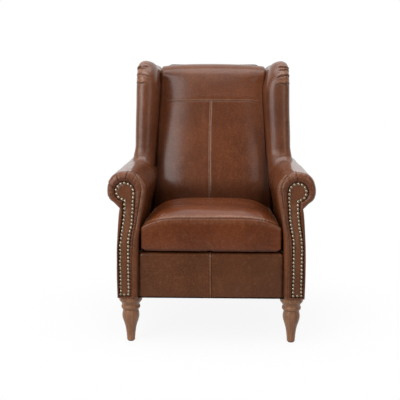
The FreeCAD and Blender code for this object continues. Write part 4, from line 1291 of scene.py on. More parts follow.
    def facing(self) -> None:
        """The nailed facing, softly folded between its rows of nails."""
        outline = np.vstack(list(NAIL_LINE.parts(self.facing_spread).values()))
        outline = resample(np.vstack([outline, outline[:1]]), 440)[:-1]
        flat, faces = filled_outline(outline, self.facing_step)
        edge = edge_distance(flat, outline)
        near = np.min(np.linalg.norm(flat[:, None, :] - NAIL_LINE.nails()[None, :, :], axis=2), axis=1)
        inner_part = ramp(0.008, 0.014, edge)
        tall = ramp(0.36, 0.42, flat[:, 1]) * ramp(0.56, 0.52, flat[:, 1])
        at = np.column_stack([flat[:, 0] * 2.6, np.zeros(len(flat)), flat[:, 1] * 0.5])
        depth = 0.0016 * ramp(0.0, 0.0045, edge) - 0.0016
        depth -= 0.0011 * hump(near, 0.0, 0.0042)
        depth += (0.0006 + 0.0014 * tall) * ripple(at, 46.0, self.seed + 5.0) * inner_part
        depth += 0.0012 * inner_part
        # Painted shade at the facing's edge and round each nail.
        crease = 0.75 * np.exp(-edge / 0.002) + 0.4 * hump(near, 0.0, 0.006)
        wear = 0.3 * tall * inner_part
        depths = (LINES.facing_front - depth, LINES.board_front)
        name = f"nailed_facing_{self.side.word}"
        piece = skirted_panel(name, outline, (flat, faces), depths, (wear, crease), self.side.value)
        settle(piece, FACING_HIDE, "chair", (f"arm_facing_{self.side.word}",))

    def nails(self) -> None:
        """Domed nails in a close row, each a little tilted, dented and off its mark."""
        chance = random.Random(f"nails {self.side.word}")
        profile = [(0.0, 0.0036), (0.0016, 0.00352), (0.0031, 0.0031), (0.0044, 0.0023), (0.0054, 0.0012),
                   (0.0059, 0.0004), (0.00605, -0.0002), (0.0057, -0.0008)]
        tip = profile[0][1]
        radius, rise = np.array(profile[1:]).T[:, :, None]
        around = 16
        turn = 2 * math.pi * np.arange(around) / around
        dome = [(0, 1 + k, 1 + (k + 1) % around) for k in range(around)]
        dome += [tuple(1 + corner for corner in quad) for quad in grid_faces(len(rise), around, True)]
        verts, faces = [], []
        for count, (x, z) in enumerate(NAIL_LINE.nails()):
            size = chance.uniform(0.96, 1.03)
            tilt_x = chance.gauss(0.0, 0.05)
            tilt_z = chance.gauss(0.0, 0.05)
            x += chance.gauss(0.0, 0.0004)
            z += chance.gauss(0.0, 0.0004)
            dent = chance.uniform(0.0, 2 * math.pi)
            verts.append((x, LINES.facing_front - tip * size, z))
            across = radius * size * (1.0 - 0.05 * np.maximum(0.0, np.cos(turn - dent)))
            px, pz = across * np.cos(turn), across * np.sin(turn)
            y = LINES.facing_front - rise * size + px * tilt_x + pz * tilt_z
            verts += np.stack([x + px, y, z + pz], axis=-1).reshape(-1, 3).tolist()
            base = count * (1 + len(rise) * around)
            faces += [tuple(base + corner for corner in face) for face in dome]
        verts = np.array(verts)
        verts[:, 0] *= self.side.value
        if self.side is Side.RIGHT:
            faces = [tuple(reversed(face)) for face in faces]
        piece = finish_mesh(f"dome_nails_{self.side.word}", verts, faces)
        settle(piece, NAIL_BRASS, "chair", (f"facing_nails_{self.side.word}",))

    def outside_panel(self) -> None:
        """The hide stretched over the arm's outside, a little slack between its edges."""
        section = LINES.outer_side()
        levels = np.concatenate([[0.0], np.linspace(0.0, 1.0, 60), [1.0]])
        reach = np.concatenate([[0.0], np.linspace(0.0, 1.0, 110), [1.0]])
        ring = np.column_stack([np.interp(levels, np.linspace(0, 1, 200), section[:, k]) for k in range(2)])
        rear = LINES.rear_y(ring[:, 1]) - 0.0045
        front = LINES.board_front + 0.0008
        y = front + (rear[None, :] - front) * reach[:, None]
        points = np.stack(np.broadcast_arrays(ring[None, :, 0], y, ring[None, :, 1]), axis=-1)
        z = points[..., 2]
        to_edge = np.minimum.reduce([y - front, rear[None, :] - y, z - ring[0, 1], ring[-1, 1] - z])
        rounding = 0.0025 * (1.0 - ramp(0.0, 0.006, to_edge))
        slack = ramp(0.0, 0.09, to_edge)
        pull = wave(z * 0.9 - y * 0.35, 0.085, self.seed)
        dip = 0.0022 * slack - 0.0002 * pull * slack - 0.0010 * ripple(points, 7.0, self.seed + 8.0) * slack
        gather = gathers(y, 0.031, 1.7, 23.0) * ramp(0.06, 0.0, ring[-1, 1] - z)
        points[..., 0] -= rounding + dip + 0.0003 * gather * ramp(0.0, 0.012, to_edge)
        points[[0, -1], :, 0] -= self.tuck
        points[1:-1, [0, -1], 0] -= self.tuck
        # Painted shade along the panel's edges.
        crease = 0.7 * np.exp(-np.maximum(to_edge, 0.0) / 0.003)
        points = on_side(points, self.side)
        piece = sheet_piece(
            f"outside_panel_{self.side.word}", points, (0.2 * self.side.value, -0.1, 0.35), {Mask.CREASE: crease}
        )
        settle(piece, HIDE, "chair", (f"outside_arm_panel_{self.side.word}",))

    def build(self) -> None:
        """Builds the arm's pieces."""
        for make in (self.cover, self.facing, self.nails, self.outside_panel):
            make()


# ---------------------------------------------------------------- wings
@dataclass
class Wing:
    """A padded wing with its rolled edge, pleated at the top front corner."""

    side: Side
    seed: float
    front: float = 0.058
    swoop: float = 0.062
    toe_z: float = 0.6585
    foot: float = 0.600
    head: float = 1.03
    top: float = 1.0942
    corner: float = 0.102
    slant: float = 0.014
    drop: float = 0.016
    rear_gap: float = 0.006
    pleat_depth: float = 0.0042
    pleat_width: float = 0.0015
    seam_depth: float = 0.0014
    slack: float = 0.0016
    round_outer: float = 0.030
    round_inner: float = 0.046
    peak: float = 0.38
    fullness: float = 2.3
    steps: int = 340
    stout: float = 0.0
    pleats: tuple = ((0.990, 0.9), (1.028, 0.8), (1.058, 0.9), (1.078, 0.8), (1.0895, 0.7))

    def edge_line(self) -> tuple[Array, Array]:
        """The wing's side outline in Y and Z from the toe over the top to the rear, with inward normals.

        Returns:
            The outline and a normal for each of its points.
        """
        toe = arc((self.front - self.swoop, self.toe_z + self.swoop), self.swoop, -90.0, 0.0, 80)
        lean = self.slant / (self.top - self.toe_z - self.swoop)
        fall = self.drop / 0.378
        turn_from = math.degrees(math.atan(lean))
        turn_to = math.degrees(math.atan(fall))
        half_turn = math.radians((90.0 - turn_from + turn_to) / 2)
        reach = self.corner * math.tan(half_turn)
        corner = np.array([self.front + self.slant, self.top])
        up = np.array([lean, 1.0]) / math.hypot(lean, 1.0)
        start = corner - up * reach
        inward = np.array([up[1], -up[0]])
        centre = start + inward * self.corner
        bend = arc(tuple(centre), self.corner, 180.0 - turn_from, 90.0 - turn_to, 80)
        rear_z = self.top - self.drop
        rear = np.array([float(LINES.rear_y(rear_z)) - self.rear_gap, rear_z + 0.0015])
        line = resample(np.vstack([toe, start[None, :], bend, rear[None, :]]), self.steps)
        return line, right_normals(line)

    def hidden_line(self) -> Array:
        """The opposite boundary: along inside the arm, then up beside the outside back.

        Returns:
            Points in Y and Z, as many as the outline has.
        """
        corner = (float(LINES.rear_y(self.foot)) - self.rear_gap, self.foot)
        low = resample(np.array([(self.front - self.swoop, self.foot), corner]), self.steps // 2)
        head = (float(LINES.rear_y(self.head)) - self.rear_gap, self.head)
        high = resample(np.array([corner, head]), self.steps - self.steps // 2 + 1)
        return np.vstack([low, high[1:]])

    def build(self) -> None:
        """Builds the wing."""
        line, inward = self.edge_line()
        hidden = self.hidden_line()
        columns = []
        side_steps = np.concatenate([np.linspace(1.0, 0.12, 16), np.linspace(0.12, 0.0, 8)[1:]])
        outer_start = line + inward * self.round_outer
        inner_start = line + inward * self.round_inner
        x_out = LINES.wing_outer
        x_in = LINES.wing_inner
        for t in side_steps:
            columns.append((-t, x_out, outer_start * (1 - t) + hidden * t))
        turn = np.radians(np.linspace(0.0, 180.0, 721))
        across = np.sign(np.cos(turn)) * np.abs(np.cos(turn)) ** (2 / self.fullness)
        depth = np.where(turn < math.pi / 2, self.round_outer, self.round_inner)
        roll = np.column_stack([across, depth * (1 - np.sin(turn) ** (2 / self.fullness))])
        reach = (x_out - x_in) * np.where(turn < math.pi / 2, self.peak, 1.0 - self.peak)
        roll[:, 0] = x_out - (x_out - x_in) * self.peak + roll[:, 0] * reach
        for k, (x, offset) in enumerate(resample(roll, 38)[1:]):
            columns.append((3.0 * (k + 1) / 37, x, line + inward * offset))
        for t in side_steps[::-1][1:]:
            columns.append((3.0 + t, x_in, inner_start * (1 - t) + hidden * t))
        points = np.stack([np.column_stack([np.full(len(p), x), p]) for _, x, p in columns], axis=1)
        label = np.array([column[0] for column in columns])[None, :]
        points = LINES.leaned(self.swept_foot(points))
        x, y, z = np.moveaxis(points, -1, 0)
        x += self.trim(points) * ramp(0.270, 0.325, x)
        x -= self.stout * ramp(0.305, 0.262, x) * ramp(1.06, 0.95, z)
        x += 0.0105 * ramp(0.305, 0.262, x) * ramp(0.95, 1.06, z) * ramp(0.395, 0.34, y)
        rounded = points.copy()
        for _ in range(9):
            rounded[:, 14:-14] = (rounded[:, 13:-15] + 2 * rounded[:, 14:-14] + rounded[:, 15:-13]) / 4
        points += (rounded - points) * ramp(0.70, 0.76, points[..., 2:3])
        middle = np.array([0.29, 0.2, 0.85])
        normal = grid_normals(points, middle)
        points, wear, crease = self.dress(points, normal, label, line)
        points, centre = on_side(points, self.side), on_side(middle, self.side)
        word = self.side.word
        piece = sheet_piece(f"wing_padding_{word}", points, centre, {Mask.WEAR: wear, Mask.CREASE: crease})
        settle(piece, WING_HIDE, "chair", (f"wing_cover_{word}", f"wing_foam_{word}"))

    def swept_foot(self, points: Array) -> Array:
        """Draws the curve at the wing's foot down on to the arm all the way across.

        Args:
            points: The wing's grid, upright.

        Returns:
            The changed grid.
        """
        made = points.copy()
        t = np.clip((self.toe_z + self.swoop - points[..., 2]) / self.swoop, 0.0, 1.0)
        near = ramp(0.16, 0.05, points[..., 1])
        drop = self.toe_z - LINES.arm_top_z(points[..., 0]) + 0.004
        made[..., 2] -= near * t**2 * np.maximum(drop, 0.0)
        made[..., 1] -= near * t**2 * np.maximum(drop, 0.0) * 0.6
        low = np.clip((0.735 - points[..., 2]) / 0.085, 0.0, 1.2)
        made[..., 0] += 0.010 * low**2 * ramp(0.315, 0.345, points[..., 0]) * ramp(0.30, 0.06, points[..., 1])
        return made

    def trim(self, points: Array) -> Array:
        """How far the outer side moves in or out at each height.

        Args:
            points: The wing's grid.

        Returns:
            A distance for each point.
        """
        heights = [0.640, 0.680, 0.720, 0.760, 0.820, 0.900, 0.960, 1.020, 1.060]
        moves = [-0.0050, -0.0072, -0.0072, -0.0052, -0.0042, -0.0030, 0.0, 0.0020, 0.0030]
        return np.interp(points[..., 2], heights, moves)

    def dress(self, points: Array, normal: Array, label: Array, line: Array) -> tuple[Array, Array, Array]:
        """Adds the corner's pleats, the edge seam, the foot's folds and the slack of the hide.

        Args:
            points: The wing's grid.
            normal: Its outward normals.
            label: Each column's place: below 0 on the outer side, 0 to 3 over the roll, past 3 on the inner side.
            line: The side outline.

        Returns:
            The dressed grid, its wear and its painted crease shade.
        """
        run = run_length(line)[:, None]
        amount = np.zeros(points.shape[:2])
        crease = np.zeros(points.shape[:2])
        window = ramp(-0.02, 0.35, label) * ramp(1.85, 1.35, label)
        for height, depth in self.pleats:
            index = int(np.argmin(np.abs(line[:200, 1] - height)))
            bow = 0.0035 * (label - 1.0) + 0.0030 * np.sin(2.6 * label + 40.0 * height) + 0.0012 * np.sin(9.0 * label)
            off = run - run[index] + bow
            reach = ramp(1.9, 1.2, label + 0.25 * math.sin(90.0 * height))
            amount -= self.pleat_depth * depth * hump(off, 0.0, self.pleat_width) * window * reach
            # Painted shade along each pleat's fold.
            crease += 1.0 * depth * hump(off, 0.0, 0.0014) * window * reach
            amount += 0.0026 * depth * hump(off, 0.007, 0.0042) * window * reach
        gathered = ramp(0.975, 0.995, points[..., 2]) * window * ramp(2.0, 1.2, label)
        cross = wave(run, 0.0078, 3.0 * label) * wave(run, 0.0111, -4.0 * label)
        amount += 0.0006 * cross * gathered
        # Painted shade: a dark strip on the outer side face next to the roll.
        crease += 0.6 * ramp(0.0, -0.05, label) * ramp(0.67, 0.70, points[..., 2])
        seam = hump(label, -0.01, 0.03) * ramp(0.0, 0.05, run) * (label < 0.2)
        amount -= self.seam_depth * seam
        # Painted shade in the edge seam.
        crease += 0.7 * seam
        foot_run = float(run[int(np.argmin(np.abs(line[:100, 1] - 0.684)))][0])
        fold = (run - foot_run) + 0.006 * np.clip(label - 1.0, -1.0, 2.0)
        over_front = ramp(-0.3, 0.1, label) * ramp(3.25, 2.9, label)
        amount -= 0.0008 * hump(fold, 0.0, 0.0026) * over_front
        amount += 0.0005 * hump(fold, 0.010, 0.007) * over_front
        # Painted shade in the fold at the foot.
        crease += 0.2 * hump(fold, 0.0, 0.0020) * over_front
        below = hump(fold, -0.014, 0.010) * over_front
        amount += 0.00015 * wave(points[..., 0], 0.017, self.seed) * below
        above = hump(fold, 0.024, 0.016) * over_front
        amount += 0.0002 * wave(points[..., 0], 0.026, 2 * self.seed) * above
        amount += self.slack * ripple(points, 8.0, self.seed)
        amount += 0.00022 * ripple(points * np.array([1.0, 1.0, 0.6]), 34.0, self.seed + 3.0)
        wear = 0.3 * hump(label, 0.55, 0.35) + 0.35 * gathered
        # Painted shade: the lower inner side face is darker.
        lower_inner = ramp(3.0, 3.4, label)
        crease += 0.3 * lower_inner * ramp(0.0, 1.0, label - 3.0)
        return points + normal * amount[..., None], np.broadcast_to(wear, amount.shape).copy(), crease


# ---------------------------------------------------------------- back
@dataclass
class InsideBack:
    """The padded inside back: an upper panel over two lower ones, seamed and topstitched."""

    front: float = 0.104
    crown_z: float = 0.502
    slope: float = math.tan(math.radians(15.9))
    deck: float = 0.3546
    top_round: float = 0.080
    side_depth: float = 0.0188
    side_power: float = 2.9
    roll: float = 0.013
    top_gain: float = 0.009
    tuck: float = 0.020
    left_gain: float = 0.005
    right_gain: float = -0.007
    seam_z: float = 0.9195
    seam_half: float = 0.198
    columns: int = 150
    row_step: float = 0.0034
    seam_depth: float = 0.0015
    centre_depth: float = 0.0018
    slack: float = 0.0010
    seed: float = 4.0

    def profile(self) -> tuple[Array, Array]:
        """The front and top in Y and Z from the deck to the rear, with inward normals.

        Returns:
            The line and a normal for each of its points.
        """
        top = LINES.back_top
        peak_y = self.front + (top - self.crown_z) * self.slope
        rake = math.atan(self.slope)
        reach = self.top_round * math.tan((math.pi / 2 - rake) / 2)
        up = np.array([math.sin(rake), math.cos(rake)])
        start = np.array([peak_y, top]) - up * reach
        centre = start + np.array([up[1], -up[0]]) * self.top_round
        bend = arc(tuple(centre), self.top_round, 180.0 - math.degrees(rake), 90.0, 60)
        knee = [(0.012, 0.44), (0.0085, 0.485), (0.0085, 0.520), (0.0150, 0.560), (0.0265, 0.600)]
        soft_knee = spline([(self.front + y, z) for y, z in knee], 50)
        rear = np.array([float(LINES.rear_y(top)) - 0.006, top])
        line = np.vstack([[(self.front + 0.010, self.deck)], soft_knee, start[None, :], bend, rear[None, :]])
        line = resample(line, int(run_length(line)[-1] / self.row_step))
        line[:, 0] += 0.004 * np.clip((line[:, 1] - 0.91) / 0.13, 0.0, 1.0) ** 2
        return line, right_normals(line)

    def build(self) -> None:
        """Builds the padded back and its stitching."""
        line, inward = self.profile()
        half = LINES.wing_inner_x(np.minimum(line[:, 1], LINES.back_top)) - 0.0008
        flat = np.linspace(-1.0, 1.0, self.columns)
        turn = np.radians(np.linspace(0.0, 90.0, 16)[1:])
        rows = []
        for (y, z), normal, reach in zip(line, inward, half):
            taper = float(ramp(1.06, 0.95, z) * ramp(0.60, 0.70, z))
            high = float(ramp(0.95, 1.06, z))
            deep = self.side_depth - 0.0125 * float(ramp(0.99, 1.06, z))
            reach += self.top_gain * high * float(ramp(0.395, 0.34, y))
            left, right = reach + self.left_gain * taper - self.roll, reach + self.right_gain * taper - self.roll
            out = np.append(self.roll * np.sin(turn), self.roll + 0.003 * high)
            down = deep + np.append(self.roll * (1 - np.cos(turn)), self.roll + self.tuck - 0.006 * high)
            x = np.concatenate([-left - out[::-1], np.where(flat < 0.0, left, right) * flat, right + out])
            sunk = np.concatenate([down[::-1], deep * np.abs(flat) ** self.side_power, down])
            flatter = 1.0 - 0.8 * float(ramp(1.0, 1.07, z))
            dome = 0.0022 * flatter * (1 - (x / reach) ** 2) - 0.004 * (x / reach) ** 2 * ramp(1.0, 1.075, z)
            offset = sunk - dome
            rows.append(np.column_stack([x, y + normal[0] * offset, z + normal[1] * offset]))
        points = np.stack(rows)
        middle = (0.0, 0.35, 0.75)
        normal = grid_normals(points, middle)
        amount, wear, crease = self.dress(points)
        points = points + normal * amount[..., None]
        piece = sheet_piece("inside_back_padding", points, middle, {Mask.WEAR: wear, Mask.CREASE: crease})
        settle(piece, HIDE, "chair", ("inside_back_cover", "back_foam"))
        self.stitch(points, normal)

    def centre_line(self, z: Array) -> Array:
        """X of the vertical seam at a height: sewn a little to the left, and not quite straight."""
        return np.interp(z, [0.45, 0.55, 0.70, 0.80, 0.91], [-0.0135, -0.0150, -0.0165, -0.0155, -0.0125])

    def seam_line(self, x: Array) -> Array:
        """Height of the horizontal seam at an X."""
        return self.seam_z - 0.0042 * (np.asarray(x) / 0.19) ** 2

    def dress(self, points: Array) -> tuple[Array, Array, Array]:
        """How far each point moves out for the panels' fullness, and the back's painted highlights and painted shade.

        Args:
            points: The back's grid.

        Returns:
            The distances, the painted highlights and the painted shade, one each a point.
        """
        x, y, z = points[..., 0], points[..., 1], points[..., 2]
        to_seam = z - self.seam_line(x)
        across = ramp(self.seam_half + 0.012, self.seam_half - 0.004, np.abs(x))
        front = ramp(0.34, 0.30, y)
        below = ramp(0.004, -0.002, to_seam)
        to_middle = x - self.centre_line(z)
        amount = -self.seam_depth * hump(to_seam, -0.0030, 0.0016) * across * front
        amount -= self.centre_depth * hump(to_middle, 0.0030, 0.0016) * below * front
        amount += 0.0004 * hump(np.abs(to_seam), 0.012, 0.009) * across * front
        amount += 0.0008 * hump(np.abs(to_middle), 0.012, 0.009) * below * front
        tug = gathers(x, 0.0135, 1.4, 37.0)
        amount += 0.0002 * tug * np.exp(-np.abs(to_seam) / 0.006) * across * front
        tug = gathers(z, 0.0150, 1.2, 29.0)
        amount += 0.0003 * tug * np.exp(-np.abs(to_middle) / 0.006) * below * front
        amount += self.slack * ripple(points, 5.0, self.seed)
        amount += 0.0002 * ripple(points * np.array([1.0, 0.5, 0.7]), 24.0, self.seed + 2.0)
        # Painted shade: dark lines in the seams, dark bands where the back meets the wings and arms, and darker
        # towards the seat.
        crease = 0.6 * hump(to_seam, -0.0042, 0.0016) * across * front
        crease += 0.5 * hump(to_middle, 0.0042, 0.0014) * below * front
        crease += 0.5 * ramp(0.222, 0.245, np.abs(x + 0.006)) * ramp(1.06, 1.0, z)
        crease += 0.4 * ramp(0.195, 0.235, np.abs(x + 0.006)) * ramp(0.78, 0.66, z)
        crease += 0.55 * ramp(0.590, 0.505, z)
        # Painted highlight: a paler band along the top and pale lines beside the seams.
        wear = 0.12 * ramp(1.03, 1.075, z)
        wear += 0.5 * hump(to_seam, 0.0, 0.0014) * across * front
        wear += 0.9 * hump(to_middle, 0.0, 0.0015) * below * front
        return amount, wear, crease

    def stitch(self, points: Array, normal: Array) -> None:
        """Sews a row beside each seam, in tan thread laid on the padded surface.

        Args:
            points: The dressed grid.
            normal: Its outward normals.
        """
        flat = points.reshape(-1, 3)
        up = normal.reshape(-1, 3)
        fronts = flat[:, 1] < 0.31
        flat, up = flat[fronts], up[fronts]
        across = [(x, float(self.seam_line(x)) + 0.0004) for x in np.linspace(-self.seam_half, self.seam_half, 140)]
        down = [(float(self.centre_line(z)), z) for z in np.linspace(self.seam_z - 0.004, 0.47, 150)]
        for name, path in (("back_cross_stitch", across), ("back_centre_stitch", down)):
            line, normals = [], []
            for x, z in path:
                away = (flat[:, 0] - x) ** 2 + (flat[:, 2] - z) ** 2
                y, outward = nearest_mean(away, 6, 1e-8, flat[:, 1], up)
                line.append((x, y, z))
                normals.append(outward)
            bars = bars_along(name, np.array(line), np.array(normals), 0.0056, 0.0016, 0.0009)
            settle(bars, THREAD, "chair")


@dataclass
class OutsideBack:
    """The plain panel over the whole outside back, hemmed and tacked round its edge."""

    spacing: float = 0.011
    thickness: float = 0.0078
    overlap: float = 0.0012
    hem: float = 0.013

    def outline(self) -> Array:
        """The chair's outline from behind, in X and Z, anticlockwise from the middle of the bottom.

        Returns:
            The closed outline's points.
        """
        scroll = LINES.over_scroll()
        wing_foot = float(LINES.arm_top_z(LINES.wing_outer))
        from_wing = np.abs(scroll[:, 0] - LINES.wing_outer) + (scroll[:, 1] < LINES.scroll[1]) * 1.0
        scroll = scroll[: int(np.argmin(from_wing))]
        upright = np.array([(0.345, 0.0, wing_foot), (0.345, 0.0, 1.0577)])
        outer_turn = arc((0.327, 1.0577), 0.018, 0.0, 90.0, 12)
        inner_turn = arc((0.294, 1.0317), 0.044, 90.0, 150.0, 14)
        crest = np.vstack([np.column_stack([p[:, 0], np.zeros(len(p)), p[:, 1]]) for p in (outer_turn, inner_turn)])
        wing = LINES.leaned(np.vstack([upright, crest]))[:, [0, 2]]
        valley_x = float(LINES.wing_inner_x(1.03))
        turn_x = valley_x - 0.042
        back = arc((turn_x, 1.0270), 0.042, 25.0, 90.0, 14)
        crown = np.array([(x, 1.069 + 0.009 * (1 - (x / turn_x) ** 2)) for x in np.linspace(turn_x, 0.0, 30)])
        arm = (LINES.outer_side(), LINES.under_scroll()[1:], scroll)
        half = np.vstack([[(0.0, LINES.underside)], *arm, wing, back, crown[1:]])
        whole = np.vstack([half, (half * np.array([-1.0, 1.0]))[::-1][1:-1]])
        even = resample(np.vstack([whole, whole[:1]]), 620)[:-1]
        return even + right_normals(even, closed=True) * self.overlap

    def build(self) -> None:
        """Builds the panel and its hem stitching."""
        outline = self.outline()
        flat, faces = filled_outline(outline, self.spacing)
        edge = edge_distance(flat, outline)
        at = np.column_stack([flat[:, 0], np.zeros(len(flat)), flat[:, 1]])
        swell = 0.0009 * ramp(0.0, 0.12, edge) + 0.0012 * ripple(at, 5.0, 11.0) * ramp(0.0, 0.1, edge)
        swell -= 0.0015 * (1.0 - ramp(0.0, 0.004, edge))
        swell -= 0.0006 * hump(edge, self.hem, 0.002)
        y = LINES.rear_y(flat[:, 1]) - 0.0010 + swell
        # Painted shade along the edge and in the hem's crease.
        crease = 0.5 * np.exp(-edge / 0.003) + 0.4 * hump(edge, self.hem, 0.002)
        depths = (y, LINES.rear_y(outline[:, 1]) - self.thickness)
        piece = skirted_panel("outside_back_panel", outline, (flat, faces), depths, (np.zeros(len(flat)), crease))
        settle(piece, HIDE, "chair", ("outside_back_cover",))
        inset = self.inset_line(outline, self.hem)
        path = np.column_stack([inset[:, 0], LINES.rear_y(inset[:, 1]) - 0.0008, inset[:, 1]])
        normal = np.tile(np.array([0.0, 1.0, -LINES.rear_slope]) / math.hypot(1.0, LINES.rear_slope), (len(path), 1))
        settle(bars_along("outside_back_stitch", path, normal, 0.006, 0.003, 0.0007), THREAD, "chair")

    @staticmethod
    def inset_line(outline: Array, inset: float) -> Array:
        """The outline moved inwards, without the points that would cross.

        Args:
            outline: The closed outline.
            inset: How far it moves.

        Returns:
            The inner line, its first point repeated at the end.
        """
        moved = outline - right_normals(outline, closed=True) * inset
        keep = edge_distance(moved, outline) > inset * 0.97
        return resample(np.vstack([moved[keep], moved[keep][:1]]), 900)


# ---------------------------------------------------------------- seat
@dataclass
class Cushion:
    """The loose box cushion, swelled by a cloth simulation, then seamed and topstitched."""

    front: float = -0.4165
    rear: float = 0.0885
    low: float = 0.3560
    edge: float = 0.4740
    crown: float = 0.5170
    front_half: float = 0.2655
    rear_half: float = 0.2485
    voxel: float = 0.0065
    cap: float = 0.024
    low_seam: float = 0.3665
    stitch_above: float = 0.0062
    seam_depth: float = 0.0022
    slack: float = 0.0028
    frames: int = 20
    lift: float = 0.012
    fall: float = 0.020
    seed: float = 6.0

    def half_width(self, y: Array) -> Array:
        """Half the cushion's width at a depth."""
        t = (np.asarray(y, dtype=float) - self.front) / (self.rear - self.front)
        return self.front_half + (self.rear_half - self.front_half) * t

    def start_shape(self) -> Piece:
        """The cushion before it swells: a softened box with a low crown, a little smaller than its space.

        Returns:
            The linked object.
        """
        steps = np.linspace(-1.0, 1.0, 30)
        upright = np.linspace(-1.0, 1.0, 9)
        verts, faces = [], []
        index = {}

        def vertex(a: float, b: float, c: float) -> int:
            """The number of the vertex at three shares of the box's size, from -1 to 1.

            Args:
                a: The share of the width.
                b: The share of the depth.
                c: The share of the height.

            Returns:
                Its number, new or known.
            """
            key = (round(a, 5), round(b, 5), round(c, 5))
            if key not in index:
                turned = 1.0 - 0.018 * abs(a * b) ** 9
                y = (self.front + self.rear) / 2 + b * turned * ((self.rear - self.front) / 2 - 0.004)
                x = a * turned * (float(self.half_width(y)) - 0.003)
                rise = 0.036 * (1 - abs(a) ** 4.2) * (1 - abs(b) ** 6.0)
                low = self.low + 0.0015 + 0.009 * max(abs(a) ** 14, 0.7 * abs(b) ** 14)
                high = float(self.border_top(np.array(x))) + rise
                index[key] = len(verts)
                verts.append((x, y, low + (high - low) * (c + 1) / 2))
            return index[key]

        def patch(fixed: int, value: float, us: Array, vs: Array) -> None:
            """Adds one side of the box.

            Args:
                fixed: The axis that side faces.
                value: Its share along that axis, -1 or 1.
                us: The shares along the first other axis.
                vs: The shares along the second.
            """
            for i in range(len(us) - 1):
                for j in range(len(vs) - 1):
                    quad = []
                    for u, v in ((us[i], vs[j]), (us[i + 1], vs[j]), (us[i + 1], vs[j + 1]), (us[i], vs[j + 1])):
                        corner = [u, v]
                        corner.insert(fixed, value)
                        quad.append(vertex(*corner))
                    flip = (value > 0) == (fixed == 1)
                    faces.append(tuple(reversed(quad)) if flip else tuple(quad))

        for value in (-1.0, 1.0):
            patch(2, value, steps, steps)
            patch(1, value, steps, upright)
            patch(0, value, steps, upright)
        return finish_mesh("seat_cushion", np.array(verts), faces)

    def hold_edges(self, piece: Piece) -> bpy.types.VertexGroup:
        """Holds the sewn edges where the foam's corners keep them.

        Args:
            piece: The remeshed cushion.

        Returns:
            A vertex group, 1 on the seams and 0 on the free panels.
        """
        x, y, z = read(piece).T
        side = self.half_width(y) - 0.003 - np.abs(x)
        end = np.minimum(y - self.front, self.rear - y) - 0.004
        rim = np.minimum(side, end)
        top = np.hypot(np.maximum(rim, 0.0), z - self.border_top(x))
        low = np.hypot(np.maximum(rim, 0.0), z - self.low - 0.006)
        upright = np.hypot(np.maximum(side, 0.0), np.maximum(end, 0.0))
        held = np.maximum(ramp(0.016, 0.006, top), ramp(0.016, 0.006, low))
        held = np.maximum(held, 0.9 * ramp(0.020, 0.008, upright))
        group = piece.vertex_groups.new(name="held")
        for number, weight in enumerate(held):
            if weight > 0.01:
                group.add([number], float(weight), "REPLACE")
        return group

    def swell(self, piece: Piece) -> None:
        """Remeshes the shape and fills it by cloth pressure, then keeps the result.

        Args:
            piece: The cushion's starting shape.
        """
        select_only(piece)
        remesh = piece.modifiers.new("even", "REMESH")
        remesh.mode = "VOXEL"
        remesh.voxel_size = self.voxel
        remesh.use_smooth_shade = True
        bpy.ops.object.modifier_apply(modifier=remesh.name)
        before = read(piece)
        held = self.hold_edges(piece)
        cloth = piece.modifiers.new("cloth", "CLOTH")
        fabric = {
            "vertex_group_mass": held.name, "pin_stiffness": 1.0, "quality": 5, "mass": 0.35,
            "tension_stiffness": 18.0, "compression_stiffness": 18.0, "shear_stiffness": 8.0,
            "bending_stiffness": 1.2, "use_pressure": True, "uniform_pressure_force": 4.0,
        }
        for key, value in fabric.items():
            setattr(cloth.settings, key, value)
        cloth.settings.effector_weights.gravity = 0.0
        cloth.point_cache.frame_start = 1
        cloth.point_cache.frame_end = self.frames
        scene = bpy.context.scene
        for number in range(1, self.frames + 1):
            scene.frame_set(number)
            bpy.context.view_layer.update()
        graph = bpy.context.evaluated_depsgraph_get()
        swollen = piece.evaluated_get(graph)
        after = np.empty(before.size)
        swollen.to_mesh().vertices.foreach_get("co", after)
        swollen.to_mesh_clear()
        piece.modifiers.remove(cloth)
        piece.vertex_groups.remove(held)
        scene.frame_set(1)
        move = after.reshape(-1, 3) - before
        length = np.linalg.norm(move, axis=1)[:, None]
        move *= np.minimum(1.0, self.cap / np.maximum(length, 1e-9))
        LOG.info("cushion swelled by up to %.1f mm", 1000 * float(length.max()))
        place(piece, before + move)

    def squared(self, points: Array) -> Array:
        """Draws the border out to the cushion's full width and depth, corners included.

        Args:
            points: The cushion's vertices.

        Returns:
            The moved vertices.
        """
        made = points.copy()
        made[:, 1] += (self.front - made[:, 1].min()) * ramp(-0.1, self.front, made[:, 1])
        share = np.abs(made[:, 0]) / self.half_width(made[:, 1])
        edges = np.linspace(self.front, self.rear, 40)
        number = np.clip(np.digitize(made[:, 1], edges), 1, 39)
        widest = np.array([share[number == k].max() if np.any(number == k) else 1.0 for k in range(1, 40)])
        gain = np.clip(1.006 / widest, 1.0, 1.05)
        gain = np.convolve(np.pad(gain, 1, mode="edge"), (0.25, 0.5, 0.25), mode="valid")
        grow = np.interp(made[:, 1], (edges[1:] + edges[:-1]) / 2, gain)
        made[:, 0] *= 1.0 + (grow - 1.0) * ramp(0.6, 1.0, share)
        return made

    def fit(self, points: Array) -> Array:
        """Holds the swollen cushion in its space between the arms, on the deck and before the back.

        Args:
            points: The cushion's vertices.

        Returns:
            The held vertices.
        """
        made = points.copy()
        z = made[:, 2]
        made[:, 2] = soft_limit(z, self.low, 0.004, above=False)
        y = made[:, 1]
        y = soft_limit(y, self.rear, 0.004, above=True)
        lip = 0.0045 * hump(made[:, 2], 0.42, 0.035)
        made[:, 1] = soft_limit(y, self.front - lip, 0.004, above=False)
        wide = self.half_width(made[:, 1]) + 0.0012
        made[:, 0] = np.sign(made[:, 0]) * soft_limit(np.abs(made[:, 0]), wide, 0.004, above=True)
        return made

